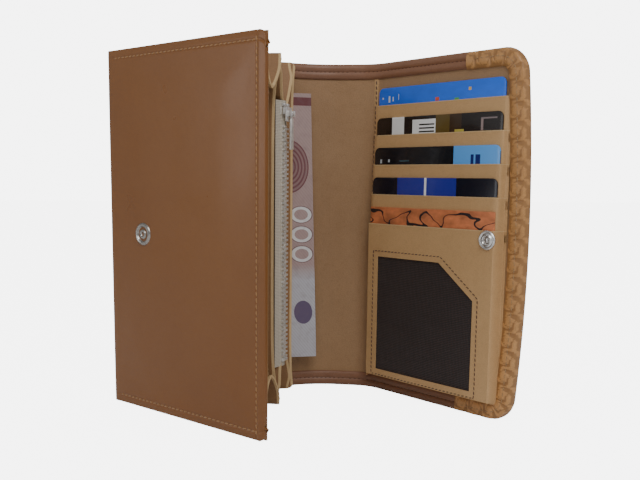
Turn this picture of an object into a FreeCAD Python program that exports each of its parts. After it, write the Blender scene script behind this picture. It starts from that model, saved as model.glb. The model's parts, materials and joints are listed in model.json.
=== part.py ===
"""Long wallet standing open on its end, as separate leather, metal and paper pieces.

Millimetres, +Z up. The wallet's long side is vertical. The back panel lies along +X, the front panel
opens from the same edge fold towards -Y, and the flap stands at the far side of the spine. Every panel
is drawn flat in its own frame: local X runs away from the fold that the panel turns on, local Y is its
thickness and local Z is the height. A panel's Placement then turns it about that fold.
"""
import FreeCAD, Part
import Sketcher
import math
import os

os.makedirs("parts", exist_ok=True)

DIMENSIONS = {
    # whole wallet
    "height": 189.0,
    "skin": 2.2,              # outer leather
    "lining": 1.0,
    "fold_gap": 2.0,          # from the edge fold's axis to each inner face
    "panel_end": 0.4,         # a panel stops this far short of its fold axis
    "binding": 0.6,           # turned edge, thickness and width
    "binding_wide": 8.0,
    "binding_end": 0.85,      # strips stop short of the bends, to clear each other when shut
    "corner": 3.0,
    # plan sizes, and the angle of each panel from the back panel in the open pose
    "back_wide": 114.0,
    "front_wide": 110.8,
    "spine_wide": 32.0,
    "flap_wide": 99.0,
    "flap_bow": 5.0,          # how far the flap's free edge bulges past its corners
    "flap_corner": 12.0,
    "front_angle": -57.9,
    "spine_angle": -26.9,
    "flap_angle": -66.3,
    "coin_front_angle": -25.5,
    "coin_rear_angle": -5.5,
    "zip_angle": -18.5,
    "zip_turn": -21.5,         # the zip faces out of the pocket's slanting mouth
    # coin pocket
    "wall": 1.2,
    "wall_start": 6.0,
    "coin_front_wide": 88.0,
    "mouth_hollow": 3.8,       # the front wall's mouth steps back beside the zip
    "mouth_low": 16.5,
    "coin_rear_wide": 96.0,
    "coin_front_offset": -0.9,
    "coin_rear_offset": 0.5,
    "wall_margin": 1.0,
    # gussets: folded leather that closes the ends of the pockets
    "gusset_thick": 0.8,
    "gusset_top": 186.0,
    "gusset_bottom": 3.0,
    "gusset_start": 12.0,
    "front_gusset_end": 80.0,
    "front_gusset_half": 20.5,
    "front_gusset_deep": 17.0,
    "front_gusset_clear": 1.6,  # narrowing at the closed end, clear of the coin pocket wall
    "coin_gusset_end": 82.0,
    "coin_gusset_half": 12.4,
    "coin_gusset_deep": 21.0,
    "coin_gusset_clear": 0.0,
    # zip
    "chain_out": 88.8,
    "tooth_inner": 0.9,
    "tooth_outer": 3.0,
    "tooth_half": 1.0,
    "tooth_tall": 1.4,
    "tooth_pitch": 2.4,
    "tooth_count": 54,
    "bead_inner": 2.4,
    "bead_outer": 3.6,
    "bead_half": 0.6,
    "zip_bottom": 24.5,
    "zip_top": 153.5,
    "tape_thick": 0.5,
    "tape_bottom": 20.0,
    "tape_top": 165.0,
    "tape_front_reach": 11.4,
    "tape_front_back": 2.2,
    "tape_rear_reach": 18.6,
    "tape_rear_out": -7.0,
    "stop_tall": 1.6,
    # zip slider and its puller
    "slider_low": 154.0,
    "slider_high": 161.5,
    "slider_half_top": 4.3,
    "slider_half_low": 3.4,
    "slider_gap": 1.3,        # chain plane to the inside of each plate
    "slider_plate": 1.0,
    "flange_inner": 3.9,
    "flange_reach": 0.65,
    "flange_low": 157.5,
    "divider_half": 0.6,
    "divider_low": 159.0,
    "lug_inner": 1.7,
    "lug_outer": 2.4,
    "lug_reach": 2.6,
    "lug_half": 1.5,
    "pin_out": 3.8,           # chain plane to the puller's pin
    "pin_up": 158.0,
    "pin_radius": 0.6,
    "eye_bore": 0.68,
    "eye_radius": 1.2,
    "eye_half": 1.4,
    "puller_half": 2.1,
    "puller_thick": 1.0,
    "puller_long": 19.0,
    "puller_neck": 2.6,
    "puller_neck_half": 1.3,
    # snap fastener
    "snap_up": 94.0,
    "snap_on_front": 26.1,
    "snap_on_flap": 87.5,
    "snap_hole": 2.1,
    "stud_post": 2.0,
    "stud_rim": 5.9,
    "stud_dish": 3.6,
    "stud_tall": 2.0,
    "stud_dish_floor": 0.7,
    "washer_radius": 4.5,
    "washer_thick": 0.5,
    "socket_radius": 5.0,
    "socket_bore": 2.4,
    "socket_tall": 1.4,
    "socket_floor": 0.4,
    "socket_rivet": 1.9,
    "socket_flange": 2.6,
    "socket_flange_thick": 0.2,
    # card side of the flap
    "layer_first": 0.7,       # inner face to the first card
    "layer_step": 1.3,
    "layer_clear": 0.1,
    "card_thick": 0.76,
    "card_wide": 85.6,
    "card_tall": 54.0,
    "card_corner": 3.2,
    "card_left": 5.2,
    "card_show": 9.5,         # how much of a card stands above its slot
    "slot_top": 165.5,        # height of the first slot's edge
    "slot_step": 16.7,
    "pocket_left": 3.0,
    "pocket_right": 92.6,
    "pocket_thick": 0.3,
    "pocket_deep": 46.5,
    "stack_bottom": 8.6,
    "window_thick": 0.55,
    "mesh_thick": 0.25,
    "mesh_margin": 4.0,
    "window_left": 12.2,
    "window_right": 79.8,
    "window_low": 14.0,
    "window_high": 80.0,
    "window_cut_x": 56.8,
    "window_cut_z": 61.9,
    # tooled leather over the flap's free end
    "tooled_start": 66.0,
    "tooled_thick": 1.2,
    "border_inner": 93.2,
    # banknote
    "note_wide": 72.0,
    "note_tall": 152.0,
    "note_thick": 0.2,
    "note_left": 37.0,
    "note_low": 19.5,
    "note_offset": 1.65,
    # where the edge fold's axis stands in the wallet's own frame
    "fold_x": -91.585,
    "fold_y": 51.374,
}

doc = FreeCAD.newDocument("long_wallet")
sheet = doc.addObject("Spreadsheet::Sheet", "Sizes")
for row, (alias, value) in enumerate(DIMENSIONS.items(), start=1):
    sheet.set(f"A{row}", alias)
    sheet.set(f"B{row}", str(value))
    sheet.setAlias(f"B{row}", alias)
doc.recompute()

SUBPARTS = []


def size(alias):
    """Return one driving dimension from the sheet."""
    return float(sheet.get(alias))


def bound(text):
    """Return an expression with every alias written as a reference to the sheet."""
    words, word = [], ""
    for mark in text + " ":
        if mark.isalnum() or mark == "_":
            word += mark
            continue
        words.append(f"Sizes.{word}" if word in DIMENSIONS else word)
        words.append(mark)
        word = ""
    return "".join(words).strip()


def value_of(text):
    """Return the number that an expression on the sheet's aliases gives now."""
    holder = doc.getObject("Probe") or doc.addObject("App::FeaturePython", "Probe")
    if "Result" not in holder.PropertiesList:
        holder.addProperty("App::PropertyFloat", "Result")
    holder.setExpression("Result", bound(text))
    holder.recompute()
    return holder.Result


# ---------------------------------------------------------------- frames of the panels

def turned(x, y, angle):
    """Return a frame at a point in plan, turned about the vertical."""
    return FreeCAD.Placement(FreeCAD.Vector(x, y, 0), FreeCAD.Rotation(FreeCAD.Vector(0, 0, 1), angle))


EDGE_FOLD = turned(size("fold_x"), size("fold_y"), 0)
BACK = EDGE_FOLD
FRONT = EDGE_FOLD * turned(0, 0, size("front_angle"))
COIN_FRONT = EDGE_FOLD * turned(0, 0, size("coin_front_angle"))
COIN_REAR = EDGE_FOLD * turned(0, 0, size("coin_rear_angle"))
ZIP = (
    EDGE_FOLD
    * turned(0, 0, size("zip_angle"))
    * turned(size("chain_out"), 0, size("zip_turn"))
    * turned(-size("chain_out"), 0, 0)
)
SPINE = EDGE_FOLD * turned(size("back_wide"), size("fold_gap"), size("spine_angle"))
FLAP = SPINE * turned(size("spine_wide"), 0, size("flap_angle") - size("spine_angle"))


def shifted(frame, x=0.0, y=0.0, z=0.0):
    """Return a frame moved along its own axes."""
    return frame * FreeCAD.Placement(FreeCAD.Vector(x, y, z), FreeCAD.Rotation())


# ---------------------------------------------------------------- drawing helpers

def new_body(label, frame):
    """Start a sub-part: a body with its own label and place."""
    body = doc.addObject("PartDesign::Body", label)
    body.Label = label
    body.Placement = frame
    SUBPARTS.append(body)
    return body


def plane_sketch(body, role, offset):
    """Add a sketch on one of the body's origin planes, moved along its normal."""
    sketch = body.newObject("Sketcher::SketchObject", f"{body.Name}_sketch")
    plane = next(p for p in body.Origin.OriginFeatures if p.Role == role)
    sketch.AttachmentSupport = (plane, "")
    sketch.MapMode = "FlatFace"
    sketch.setExpression("AttachmentOffset.Base.z", bound(offset))
    return sketch


def pin_point(sketch, edge, end, across, up):
    """Hold one end of a sketch edge at bound distances from the origin."""
    for kind, text in (("DistanceX", across), ("DistanceY", up)):
        index = sketch.addConstraint(Sketcher.Constraint(kind, -1, 1, edge, end, value_of(text)))
        name = f"{kind}_{edge}"
        sketch.renameConstraint(index, name)
        sketch.setExpression(f"Constraints.{name}", bound(text))


def polygon(sketch, corners):
    """Draw a closed outline whose corners are pairs of expressions."""
    first = sketch.GeometryCount
    points = [FreeCAD.Vector(value_of(across), value_of(up), 0) for across, up in corners]
    count = len(corners)
    for index in range(count):
        sketch.addGeometry(Part.LineSegment(points[index], points[(index + 1) % count]), False)
    for index in range(count):
        after = first + (index + 1) % count
        sketch.addConstraint(Sketcher.Constraint("Coincident", first + index, 2, after, 1))
    for index, (across, up) in enumerate(corners):
        pin_point(sketch, first + index, 1, across, up)


def box_corners(left, right, low, high):
    """Return the four corners of an upright rectangle."""
    return [(left, low), (right, low), (right, high), (left, high)]


def pad(body, sketch, length):
    """Thicken a sketch along its normal."""
    feature = body.newObject("PartDesign::Pad", f"{body.Name}_pad")
    feature.Profile = sketch
    feature.setExpression("Length", bound(length))
    doc.recompute()
    return feature


def pocket(body, sketch, length):
    """Cut a sketch out of the body, both ways from its plane."""
    before = body.Shape.Volume
    feature = body.newObject("PartDesign::Pocket", f"{body.Name}_pocket")
    feature.Profile = sketch
    feature.SideType = "Symmetric"
    feature.setExpression("Length", bound(length))
    doc.recompute()
    if body.Shape.Volume >= before:
        raise RuntimeError(f"{body.Label}: the pocket cut nothing")
    return feature


def round_corners(body, spots, radius, along="y"):
    """Fillet the edges that run through the thickness at the given corners."""
    marks = [(value_of(across), value_of(up)) for across, up in spots]
    near = 0.01
    base = body.Tip

    def flat(point):
        return (point.x, point.z) if along == "y" else (point.y, point.z)

    names = [
        f"Edge{number}"
        for number, edge in enumerate(base.Shape.Edges, start=1)
        if len(edge.Vertexes) == 2
        and any(
            all(math.dist(flat(vertex.Point), mark) < near for vertex in edge.Vertexes) for mark in marks
        )
    ]
    if len(names) != len(spots):
        raise RuntimeError(f"{body.Label}: {len(names)} corner edges found, {len(spots)} expected")
    feature = body.newObject("PartDesign::Fillet", f"{body.Name}_corners")
    feature.Base = (base, names)
    feature.setExpression("Radius", bound(radius))
    body.Tip = feature
    doc.recompute()


def sheet_body(label, frame, corners, near, far):
    """Make a flat piece: an outline in X and Z, from local Y near to local Y far."""
    body = new_body(label, frame)
    sketch = plane_sketch(body, "XZ_Plane", f"-({far})")
    polygon(sketch, corners)
    pad(body, sketch, f"({far}) - ({near})")
    return body


def upright_pad(body, role, offset, corners, length):
    """Add a pad of an outline on an origin plane."""
    sketch = plane_sketch(body, role, offset)
    polygon(sketch, corners)
    return pad(body, sketch, length)


# ---------------------------------------------------------------- panels

def panel(prefix, frame, left, right, side, inner, free_corners):
    """Make a panel's outer leather and its lining. side is +1 or -1 along local Y."""
    corners = box_corners(left, right, "0", "height")
    lined = f"{inner} + lining"
    skinned = f"{inner} + lining + skin"
    for suffix, start, stop in (("leather", lined, skinned), ("lining", inner, lined)):
        near, far = (start, stop) if side > 0 else (f"-({stop})", f"-({start})")
        body = sheet_body(f"{prefix}_{suffix}", frame, corners, near, far)
        if free_corners:
            round_corners(body, [(right, "0"), (right, "height")], "corner")


def bindings(prefix, frame, left, right, inner):
    """Make the turned-edge strips along the top and bottom of a panel's inner face."""
    for place, low, high in (("top", "height - binding_wide", "height"), ("bottom", "0", "binding_wide")):
        corners = box_corners(left, right, low, high)
        sheet_body(f"{prefix}_binding_{place}", frame, corners, f"{inner} - binding", inner)


def bend_sector(label, frame, inner, outer, sweep):
    """Make the leather round a fold: a slice of a tube that stands on the fold's axis."""
    solid = doc.addObject("Part::Cylinder", f"{label}_round")
    core = doc.addObject("Part::Cylinder", f"{label}_core")
    for piece, radius, angle in ((solid, outer, sweep), (core, inner, "360")):
        piece.setExpression("Radius", bound(radius))
        piece.setExpression("Angle", bound(angle))
        piece.setExpression("Height", bound("height"))
    cut = doc.addObject("Part::Cut", label)
    cut.Base, cut.Tool, cut.Label = solid, core, label
    cut.Placement = frame
    doc.recompute()
    SUBPARTS.append(cut)


def back_and_front():
    """Make the two outer panels that share the edge fold."""
    panel("back", BACK, "0", "back_wide - panel_end", 1, "fold_gap", False)
    bindings("back", BACK, "panel_end", "back_wide - binding_end", "fold_gap")
    panel("front", FRONT, "0", "front_wide", -1, "fold_gap", True)
    bend_sector(
        "edge_fold_leather",
        BACK * turned(0, 0, 90),
        "fold_gap",
        "fold_gap + lining + skin",
        "180 + front_angle - 3",
    )


def spine_panel():
    """Make the spine between the back panel and the flap, and the leather at its two bends."""
    panel("spine", SPINE, "panel_end", "spine_wide - panel_end", 1, "0", False)
    bindings("spine", SPINE, "binding_end", "spine_wide - binding_end", "0")
    bends = (
        ("spine_bend_leather", SPINE, "-spine_angle - 4"),
        ("flap_bend_leather", FLAP, "spine_angle - flap_angle - 4"),
    )
    for label, frame, sweep in bends:
        start = frame * turned(0, 0, 92)
        bend_sector(label, start, "0.6", "lining + skin", sweep)


# ---------------------------------------------------------------- flap

def bowed_sheet(label, left, near, far):
    """Make a flat piece of the flap that ends at its bowed free edge."""
    body = new_body(label, FLAP)
    sketch = plane_sketch(body, "XZ_Plane", f"-({far})")
    low = FreeCAD.Vector(value_of(left), 0, 0)
    low_free = FreeCAD.Vector(size("flap_wide"), 0, 0)
    high_free = FreeCAD.Vector(size("flap_wide"), size("height"), 0)
    high = FreeCAD.Vector(value_of(left), size("height"), 0)
    middle = FreeCAD.Vector(size("flap_wide") + size("flap_bow"), size("height") / 2, 0)
    sketch.addGeometry(Part.LineSegment(low, low_free), False)
    sketch.addGeometry(Part.Arc(low_free, middle, high_free), False)
    sketch.addGeometry(Part.LineSegment(high_free, high), False)
    sketch.addGeometry(Part.LineSegment(high, low), False)
    for edge, end, after, start in ((0, 2, 1, 1), (1, 2, 2, 1), (2, 2, 3, 1), (3, 2, 0, 1)):
        sketch.addConstraint(Sketcher.Constraint("Coincident", edge, end, after, start))
    pin_point(sketch, 0, 1, left, "0")
    pin_point(sketch, 1, 1, "flap_wide", "0")
    pin_point(sketch, 2, 1, "flap_wide", "height")
    pin_point(sketch, 3, 1, left, "height")
    radius = "height * height / (8 * flap_bow) + flap_bow / 2"
    index = sketch.addConstraint(Sketcher.Constraint("Radius", 1, value_of(radius)))
    sketch.renameConstraint(index, "bow")
    sketch.setExpression("Constraints.bow", bound(radius))
    pad(body, sketch, f"({far}) - ({near})")
    round_corners(body, [("flap_wide", "0"), ("flap_wide", "height")], "flap_corner")
    return body


def flap_shell():
    """Make the flap's leather, lining, tooled end and turned edges."""
    bowed_sheet("flap_leather", "panel_end", "lining", "lining + skin")
    bowed_sheet("flap_lining", "panel_end", "0", "lining")
    bowed_sheet("tooled_overlay", "tooled_start", "lining + skin", "lining + skin + tooled_thick")
    border = bowed_sheet("tooled_border", "tooled_start", "-binding", "0")
    inside = plane_sketch(border, "XZ_Plane", "0")
    polygon(
        inside, box_corners("tooled_start - 1", "border_inner", "binding_wide", "height - binding_wide")
    )
    pocket(border, inside, "4 * binding")
    bindings("flap", FLAP, "binding_end", "tooled_start - 0.1", "0")


def layer(number):
    """Return the local Y, as an expression, of the outer face of one card layer."""
    return f"-(layer_first + {number} * layer_step + layer_clear)"


def slot_edge(number):
    """Return the height, as an expression, of one slot's edge."""
    return f"(slot_top - {number} * slot_step)"


def cards_and_pockets():
    """Make the five cards and the four plain pockets, stepped down the flap."""
    count = 5
    for number in range(count):
        far = layer(number)
        top = f"({slot_edge(number)} + card_show)"
        corners = box_corners("card_left", "card_left + card_wide", f"{top} - card_tall", top)
        card = sheet_body(f"card_{number + 1}", FLAP, corners, f"{far} - card_thick", far)
        if number < count - 1:
            round_corners(card, corners, "card_corner")
            low = f"{slot_edge(number)} - pocket_deep"
            front = f"{far} - card_thick - layer_clear"
            corners = box_corners("pocket_left", "pocket_right", low, slot_edge(number))
            sheet_body(f"card_pocket_{number + 1}", FLAP, corners, f"{front} - pocket_thick", front)


def window_outline(margin):
    """Return the corners of the window, grown by a margin, with its cut-off upper corner."""
    return [
        (f"window_left - {margin}", f"window_low - {margin}"),
        (f"window_right + {margin}", f"window_low - {margin}"),
        (f"window_right + {margin}", "window_cut_z"),
        ("window_cut_x", f"window_high + {margin}"),
        (f"window_left - {margin}", f"window_high + {margin}"),
    ]


def window_pocket():
    """Make the lowest pocket, its window with one corner cut off, and the mesh behind it."""
    far = f"{layer(4)} - card_thick - layer_clear"
    sheet_body("window_mesh", FLAP, window_outline("mesh_margin"), f"{far} - mesh_thick", far)
    front = f"{far} - mesh_thick"
    corners = box_corners("pocket_left", "pocket_right", "stack_bottom", slot_edge(4))
    body = sheet_body("window_pocket", FLAP, corners, f"{front} - window_thick", front)
    window = plane_sketch(body, "XZ_Plane", f"-({front})")
    polygon(window, window_outline("0"))
    pocket(body, window, "4 * window_thick")
    hole = plane_sketch(body, "XZ_Plane", f"-({front})")
    circle(hole, "snap_on_flap", "snap_up", "snap_hole")
    pocket(body, hole, "4 * window_thick")
    return f"{front} - window_thick"


def circle(sketch, across, up, radius):
    """Draw a circle with a bound centre and radius."""
    centre = FreeCAD.Vector(value_of(across), value_of(up), 0)
    normal = FreeCAD.Vector(0, 0, 1)
    edge = sketch.addGeometry(Part.Circle(centre, normal, value_of(radius)), False)
    pin_point(sketch, edge, 3, across, up)
    index = sketch.addConstraint(Sketcher.Constraint("Radius", edge, value_of(radius)))
    sketch.renameConstraint(index, f"radius_{edge}")
    sketch.setExpression(f"Constraints.radius_{edge}", bound(radius))


# ---------------------------------------------------------------- snap fastener

def turned_piece(label, frame, profile):
    """Spin a profile of (radius, local Y) corners about the local Y axis."""
    body = new_body(label, frame)
    sketch = plane_sketch(body, "XY_Plane", "0")
    polygon(sketch, profile)
    spin = body.newObject("PartDesign::Revolution", f"{label}_spin")
    spin.Profile = sketch
    spin.ReferenceAxis = (sketch, ["V_Axis"])
    spin.Angle = 360.0
    doc.recompute()


def snap_fastener(socket_face):
    """Make the stud through the front panel, its washer, and the socket on the flap."""
    for label in ("front_leather", "front_lining"):
        body = next(part for part in SUBPARTS if part.Label == label)
        hole = plane_sketch(body, "XZ_Plane", "0")
        circle(hole, "snap_on_front", "snap_up", "snap_hole")
        pocket(body, hole, "4 * (fold_gap + lining + skin)")
    place = shifted(FRONT, x=size("snap_on_front"), z=size("snap_up"))
    outer_face = "-(fold_gap + lining + skin)"
    stud = [
        ("0", "-fold_gap"),
        ("0", f"{outer_face} - stud_dish_floor"),
        ("stud_dish", f"{outer_face} - stud_dish_floor"),
        ("stud_dish + 0.8", f"{outer_face} - stud_tall"),
        ("stud_rim - 0.8", f"{outer_face} - stud_tall"),
        ("stud_rim", f"{outer_face} - stud_dish_floor"),
        ("stud_rim", outer_face),
        ("stud_post", outer_face),
        ("stud_post", "-fold_gap"),
    ]
    turned_piece("snap_stud", place, stud)
    washer = [
        ("0", "-fold_gap"),
        ("washer_radius", "-fold_gap"),
        ("washer_radius - 0.4", "-fold_gap + washer_thick"),
        ("0", "-fold_gap + washer_thick"),
    ]
    turned_piece("snap_stud_washer", place, washer)
    behind = f"({socket_face}) + window_thick"
    socket = [
        ("0", f"{behind} + socket_flange_thick"),
        ("socket_flange", f"{behind} + socket_flange_thick"),
        ("socket_flange", behind),
        ("socket_rivet", behind),
        ("socket_rivet", socket_face),
        ("socket_radius", socket_face),
        ("socket_radius - 0.5", f"{socket_face} - socket_tall"),
        ("socket_bore + 0.3", f"{socket_face} - socket_tall"),
        ("socket_bore", f"{socket_face} - socket_floor"),
        ("0", f"{socket_face} - socket_floor"),
    ]
    turned_piece("snap_socket", shifted(FLAP, x=size("snap_on_flap"), z=size("snap_up")), socket)


# ---------------------------------------------------------------- coin pocket

def coin_walls():
    """Make the two walls of the coin pocket."""
    walls = (
        ("coin_wall_front", COIN_FRONT, "coin_front_wide", "coin_front_offset"),
        ("coin_wall_rear", COIN_REAR, "coin_rear_wide", "coin_rear_offset"),
    )
    for label, frame, wide, offset in walls:
        corners = box_corners("wall_start", wide, "wall_margin", "height - wall_margin")
        if label == "coin_wall_front":
            mouth = f"{wide} - mouth_hollow"
            corners[2:2] = [
                (wide, "mouth_low"),
                (mouth, "mouth_low + mouth_hollow"),
                (mouth, "height - mouth_low - mouth_hollow"),
                (wide, "height - mouth_low"),
            ]
        body = sheet_body(label, frame, corners, f"{offset} - wall / 2", f"{offset} + wall / 2")
        round_corners(body, [(wide, "wall_margin"), (wide, "height - wall_margin")], "corner")


def gusset(label, frame, alias, base, down):
    """Loft a trough that widens and deepens from the edge fold to the pocket's mouth."""
    end, half, deep, clear = (f"{alias}_{part}" for part in ("end", "half", "deep", "clear"))
    body = new_body(label, frame)
    sketches = []
    for distance in ("gusset_start", end):
        share = f"({distance} / {end})"
        wide = f"({half} * {share} - {clear} * (1 - {share}))"
        floor = f"({half} * {share} / 3)"
        inset = "gusset_thick"
        low = f"({base} + {down} * {deep} * {share})"
        low_inner = f"({low} - {down} * gusset_thick)"
        sketch = plane_sketch(body, "YZ_Plane", distance)
        polygon(
            sketch,
            [
                (f"-{wide}", base),
                (f"-{floor}", low),
                (floor, low),
                (wide, base),
                (f"{wide} - {inset}", base),
                (f"{floor} - {inset} / 2", low_inner),
                (f"-({floor} - {inset} / 2)", low_inner),
                (f"-({wide} - {inset})", base),
            ],
        )
        sketches.append(sketch)
    loft = body.newObject("PartDesign::AdditiveLoft", f"{label}_loft")
    loft.Profile = sketches[0]
    loft.Sections = [sketches[1]]
    loft.Ruled = True
    doc.recompute()


def gussets():
    """Make the four folded gussets."""
    front_half_angle = (size("front_angle") + size("coin_front_angle")) / 2
    coin_half_angle = (size("coin_front_angle") + size("coin_rear_angle")) / 2
    pairs = (
        ("front_gusset", EDGE_FOLD * turned(0, 0, front_half_angle)),
        ("coin_gusset", EDGE_FOLD * turned(0, 0, coin_half_angle)),
    )
    for label, frame in pairs:
        for place, base, down in (("top", "gusset_top", "-1"), ("bottom", "gusset_bottom", "1")):
            gusset(f"{label}_{place}", frame, label, base, down)


# ---------------------------------------------------------------- zip

def zip_chain(label, side):
    """Make one row of zip teeth on its bead. side is the sign of local Y."""
    body = new_body(label, ZIP)
    near, far = ("bead_inner", "bead_outer") if side > 0 else ("-bead_outer", "-bead_inner")
    corners = box_corners("chain_out - bead_half", "chain_out + bead_half", near, far)
    upright_pad(body, "XY_Plane", "zip_bottom", corners, "zip_top - zip_bottom")
    near, far = ("tooth_inner", "tooth_outer") if side > 0 else ("-tooth_outer", "-tooth_inner")
    corners = box_corners("chain_out - tooth_half", "chain_out + tooth_half", near, far)
    lift = "zip_bottom" if side > 0 else "zip_bottom + tooth_pitch / 2"
    tooth = upright_pad(body, "XY_Plane", lift, corners, "tooth_tall")
    row = body.newObject("PartDesign::LinearPattern", f"{label}_row")
    row.Originals = [tooth]
    row.Direction = (next(a for a in body.Origin.OriginFeatures if a.Role == "Z_Axis"), [""])
    row.setExpression("Length", bound("(tooth_count - 1) * tooth_pitch"))
    row.setExpression("Occurrences", bound("tooth_count"))
    body.Tip = row
    doc.recompute()


def zip_tapes():
    """Make the two cloth tapes from the chain to the mouth of each coin pocket wall."""
    tapes = (
        ("zip_tape_rear", "bead_outer", "tape_rear_reach", "tape_rear_out"),
        ("zip_tape_front", "-bead_outer", "-tape_front_reach", "-tape_front_back"),
    )
    for label, start, reach, out in tapes:
        body = new_body(label, ZIP)
        corners = [
            ("chain_out - tape_thick / 2", start),
            ("chain_out + tape_thick / 2", start),
            (f"chain_out + {out} + tape_thick / 2", reach),
            (f"chain_out + {out} - tape_thick / 2", reach),
        ]
        upright_pad(body, "XY_Plane", "tape_bottom", corners, "tape_top - tape_bottom")


def zip_stops():
    """Make the bottom stop and the pair of top stops."""
    bottom = new_body("zip_bottom_stop", ZIP)
    corners = box_corners(
        "chain_out - tooth_half", "chain_out + tooth_half", "-bead_outer", "bead_outer"
    )
    upright_pad(bottom, "XY_Plane", "zip_bottom - stop_tall - 0.2", corners, "stop_tall")
    top = new_body("zip_top_stops", ZIP)
    sketch = plane_sketch(top, "XY_Plane", "slider_high + 0.4")
    for near, far in (("tooth_inner", "bead_outer"), ("-bead_outer", "-tooth_inner")):
        polygon(sketch, box_corners("chain_out - tooth_half", "chain_out + tooth_half", near, far))
    pad(top, sketch, "stop_tall")


def zip_slider():
    """Make the slider: two plates, the divider that joins them, side flanges, lugs and pin."""
    body = new_body("zip_slider", ZIP)
    plate = [
        ("-slider_half_low", "slider_low"),
        ("slider_half_low", "slider_low"),
        ("slider_half_top", "flange_low"),
        ("slider_half_top", "slider_high"),
        ("-slider_half_top", "slider_high"),
        ("-slider_half_top", "flange_low"),
    ]
    upright_pad(body, "YZ_Plane", "chain_out + slider_gap", plate, "slider_plate")
    divider = box_corners("-divider_half", "divider_half", "divider_low", "slider_high")
    upright_pad(body, "YZ_Plane", "chain_out - slider_gap", divider, "2 * slider_gap")
    upright_pad(body, "YZ_Plane", "chain_out - slider_gap - slider_plate", plate, "slider_plate")
    for start in ("chain_out - slider_gap", "chain_out + slider_gap - flange_reach"):
        for near, far in (("flange_inner", "slider_half_top"), ("-slider_half_top", "-flange_inner")):
            corners = box_corners(near, far, "flange_low", "slider_high")
            upright_pad(body, "YZ_Plane", start, corners, "flange_reach")
    face = "chain_out + slider_gap + slider_plate"
    for near, far in (("lug_inner", "lug_outer"), ("-lug_outer", "-lug_inner")):
        corners = box_corners(near, far, "pin_up - lug_half", "pin_up + lug_half")
        upright_pad(body, "YZ_Plane", face, corners, "lug_reach")
    pin = plane_sketch(body, "XZ_Plane", "-lug_inner")
    circle(pin, "chain_out + pin_out", "pin_up", "pin_radius")
    pad(body, pin, "2 * lug_inner")


def zip_puller():
    """Make the puller: an eye round the slider's pin and a tab that hangs from it."""
    body = new_body("zip_puller", ZIP)
    eye = plane_sketch(body, "XZ_Plane", "-eye_half")
    circle(eye, "chain_out + pin_out", "pin_up", "eye_radius")
    pad(body, eye, "2 * eye_half")
    tab = [
        ("-puller_neck_half", "pin_up - eye_radius + 0.3"),
        ("-puller_neck_half", "pin_up - puller_neck"),
        ("-puller_half", "pin_up - puller_neck - 0.8"),
        ("-puller_half", "pin_up - puller_long"),
        ("puller_half", "pin_up - puller_long"),
        ("puller_half", "pin_up - puller_neck - 0.8"),
        ("puller_neck_half", "pin_up - puller_neck"),
        ("puller_neck_half", "pin_up - eye_radius + 0.3"),
    ]
    upright_pad(body, "YZ_Plane", "chain_out + pin_out - puller_thick / 2", tab, "puller_thick")
    ends = [("-puller_half", "pin_up - puller_long"), ("puller_half", "pin_up - puller_long")]
    round_corners(body, ends, "puller_half * 0.8", along="x")
    bore = plane_sketch(body, "XZ_Plane", "0")
    circle(bore, "chain_out + pin_out", "pin_up", "eye_bore")
    pocket(body, bore, "4 * eye_half")


def note():
    """Make the banknote behind the coin pocket."""
    corners = box_corners("note_left", "note_left + note_wide", "note_low", "note_low + note_tall")
    near, far = "note_offset - note_thick / 2", "note_offset + note_thick / 2"
    sheet_body("banknote", COIN_REAR, corners, near, far)


# ---------------------------------------------------------------- build, check and write

back_and_front()
spine_panel()
flap_shell()
cards_and_pockets()
snap_fastener(window_pocket())
coin_walls()
gussets()
zip_chain("zip_chain_front", -1)
zip_chain("zip_chain_rear", 1)
zip_tapes()
zip_stops()
zip_slider()
zip_puller()
note()
doc.recompute()

for item in doc.Objects:
    if "Invalid" in item.State or "Error" in item.State:
        raise RuntimeError(f"{item.Label}: {item.State}")
whole = FreeCAD.BoundBox()
for part in SUBPARTS:
    if part.Shape.isNull() or not part.Shape.isValid():
        raise RuntimeError(f"{part.Label}: bad shape")
    whole.add(part.Shape.BoundBox)
    part.Shape.exportStep(f"parts/{part.Label}.step")
print(f"{len(SUBPARTS)} sub-parts, centre {whole.Center.x:.3f} {whole.Center.y:.3f}, "
      f"sizes {whole.XLength:.2f} {whole.YLength:.2f} {whole.ZLength:.2f}, low {whole.ZMin:.3f}")
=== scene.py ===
"""Long wallet standing open: outer leather, lining, tooled border, gussets, zip, cards and snap."""

import json
import logging
import math
from collections.abc import Callable, Sequence
from dataclasses import dataclass, field
from enum import Enum

import bmesh
import bpy
import numpy as np
from mathutils import Matrix, Vector


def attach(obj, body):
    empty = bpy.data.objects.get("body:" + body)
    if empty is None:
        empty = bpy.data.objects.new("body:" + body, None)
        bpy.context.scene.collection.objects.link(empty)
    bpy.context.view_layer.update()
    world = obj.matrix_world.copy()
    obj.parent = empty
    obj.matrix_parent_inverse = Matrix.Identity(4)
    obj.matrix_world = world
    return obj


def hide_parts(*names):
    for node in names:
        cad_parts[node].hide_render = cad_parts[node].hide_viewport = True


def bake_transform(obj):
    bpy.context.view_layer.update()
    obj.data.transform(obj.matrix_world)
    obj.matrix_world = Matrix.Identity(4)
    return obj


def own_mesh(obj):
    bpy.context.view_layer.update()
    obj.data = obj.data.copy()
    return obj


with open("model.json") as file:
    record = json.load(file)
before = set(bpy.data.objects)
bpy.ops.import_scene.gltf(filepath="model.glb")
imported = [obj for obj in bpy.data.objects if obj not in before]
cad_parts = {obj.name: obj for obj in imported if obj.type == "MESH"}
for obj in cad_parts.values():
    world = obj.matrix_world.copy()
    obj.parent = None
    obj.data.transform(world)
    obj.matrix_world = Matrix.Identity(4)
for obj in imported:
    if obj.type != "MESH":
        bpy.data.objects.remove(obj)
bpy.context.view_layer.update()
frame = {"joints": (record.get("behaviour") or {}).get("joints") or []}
LOG = logging.getLogger("long_wallet")
MM = 0.001
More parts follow.
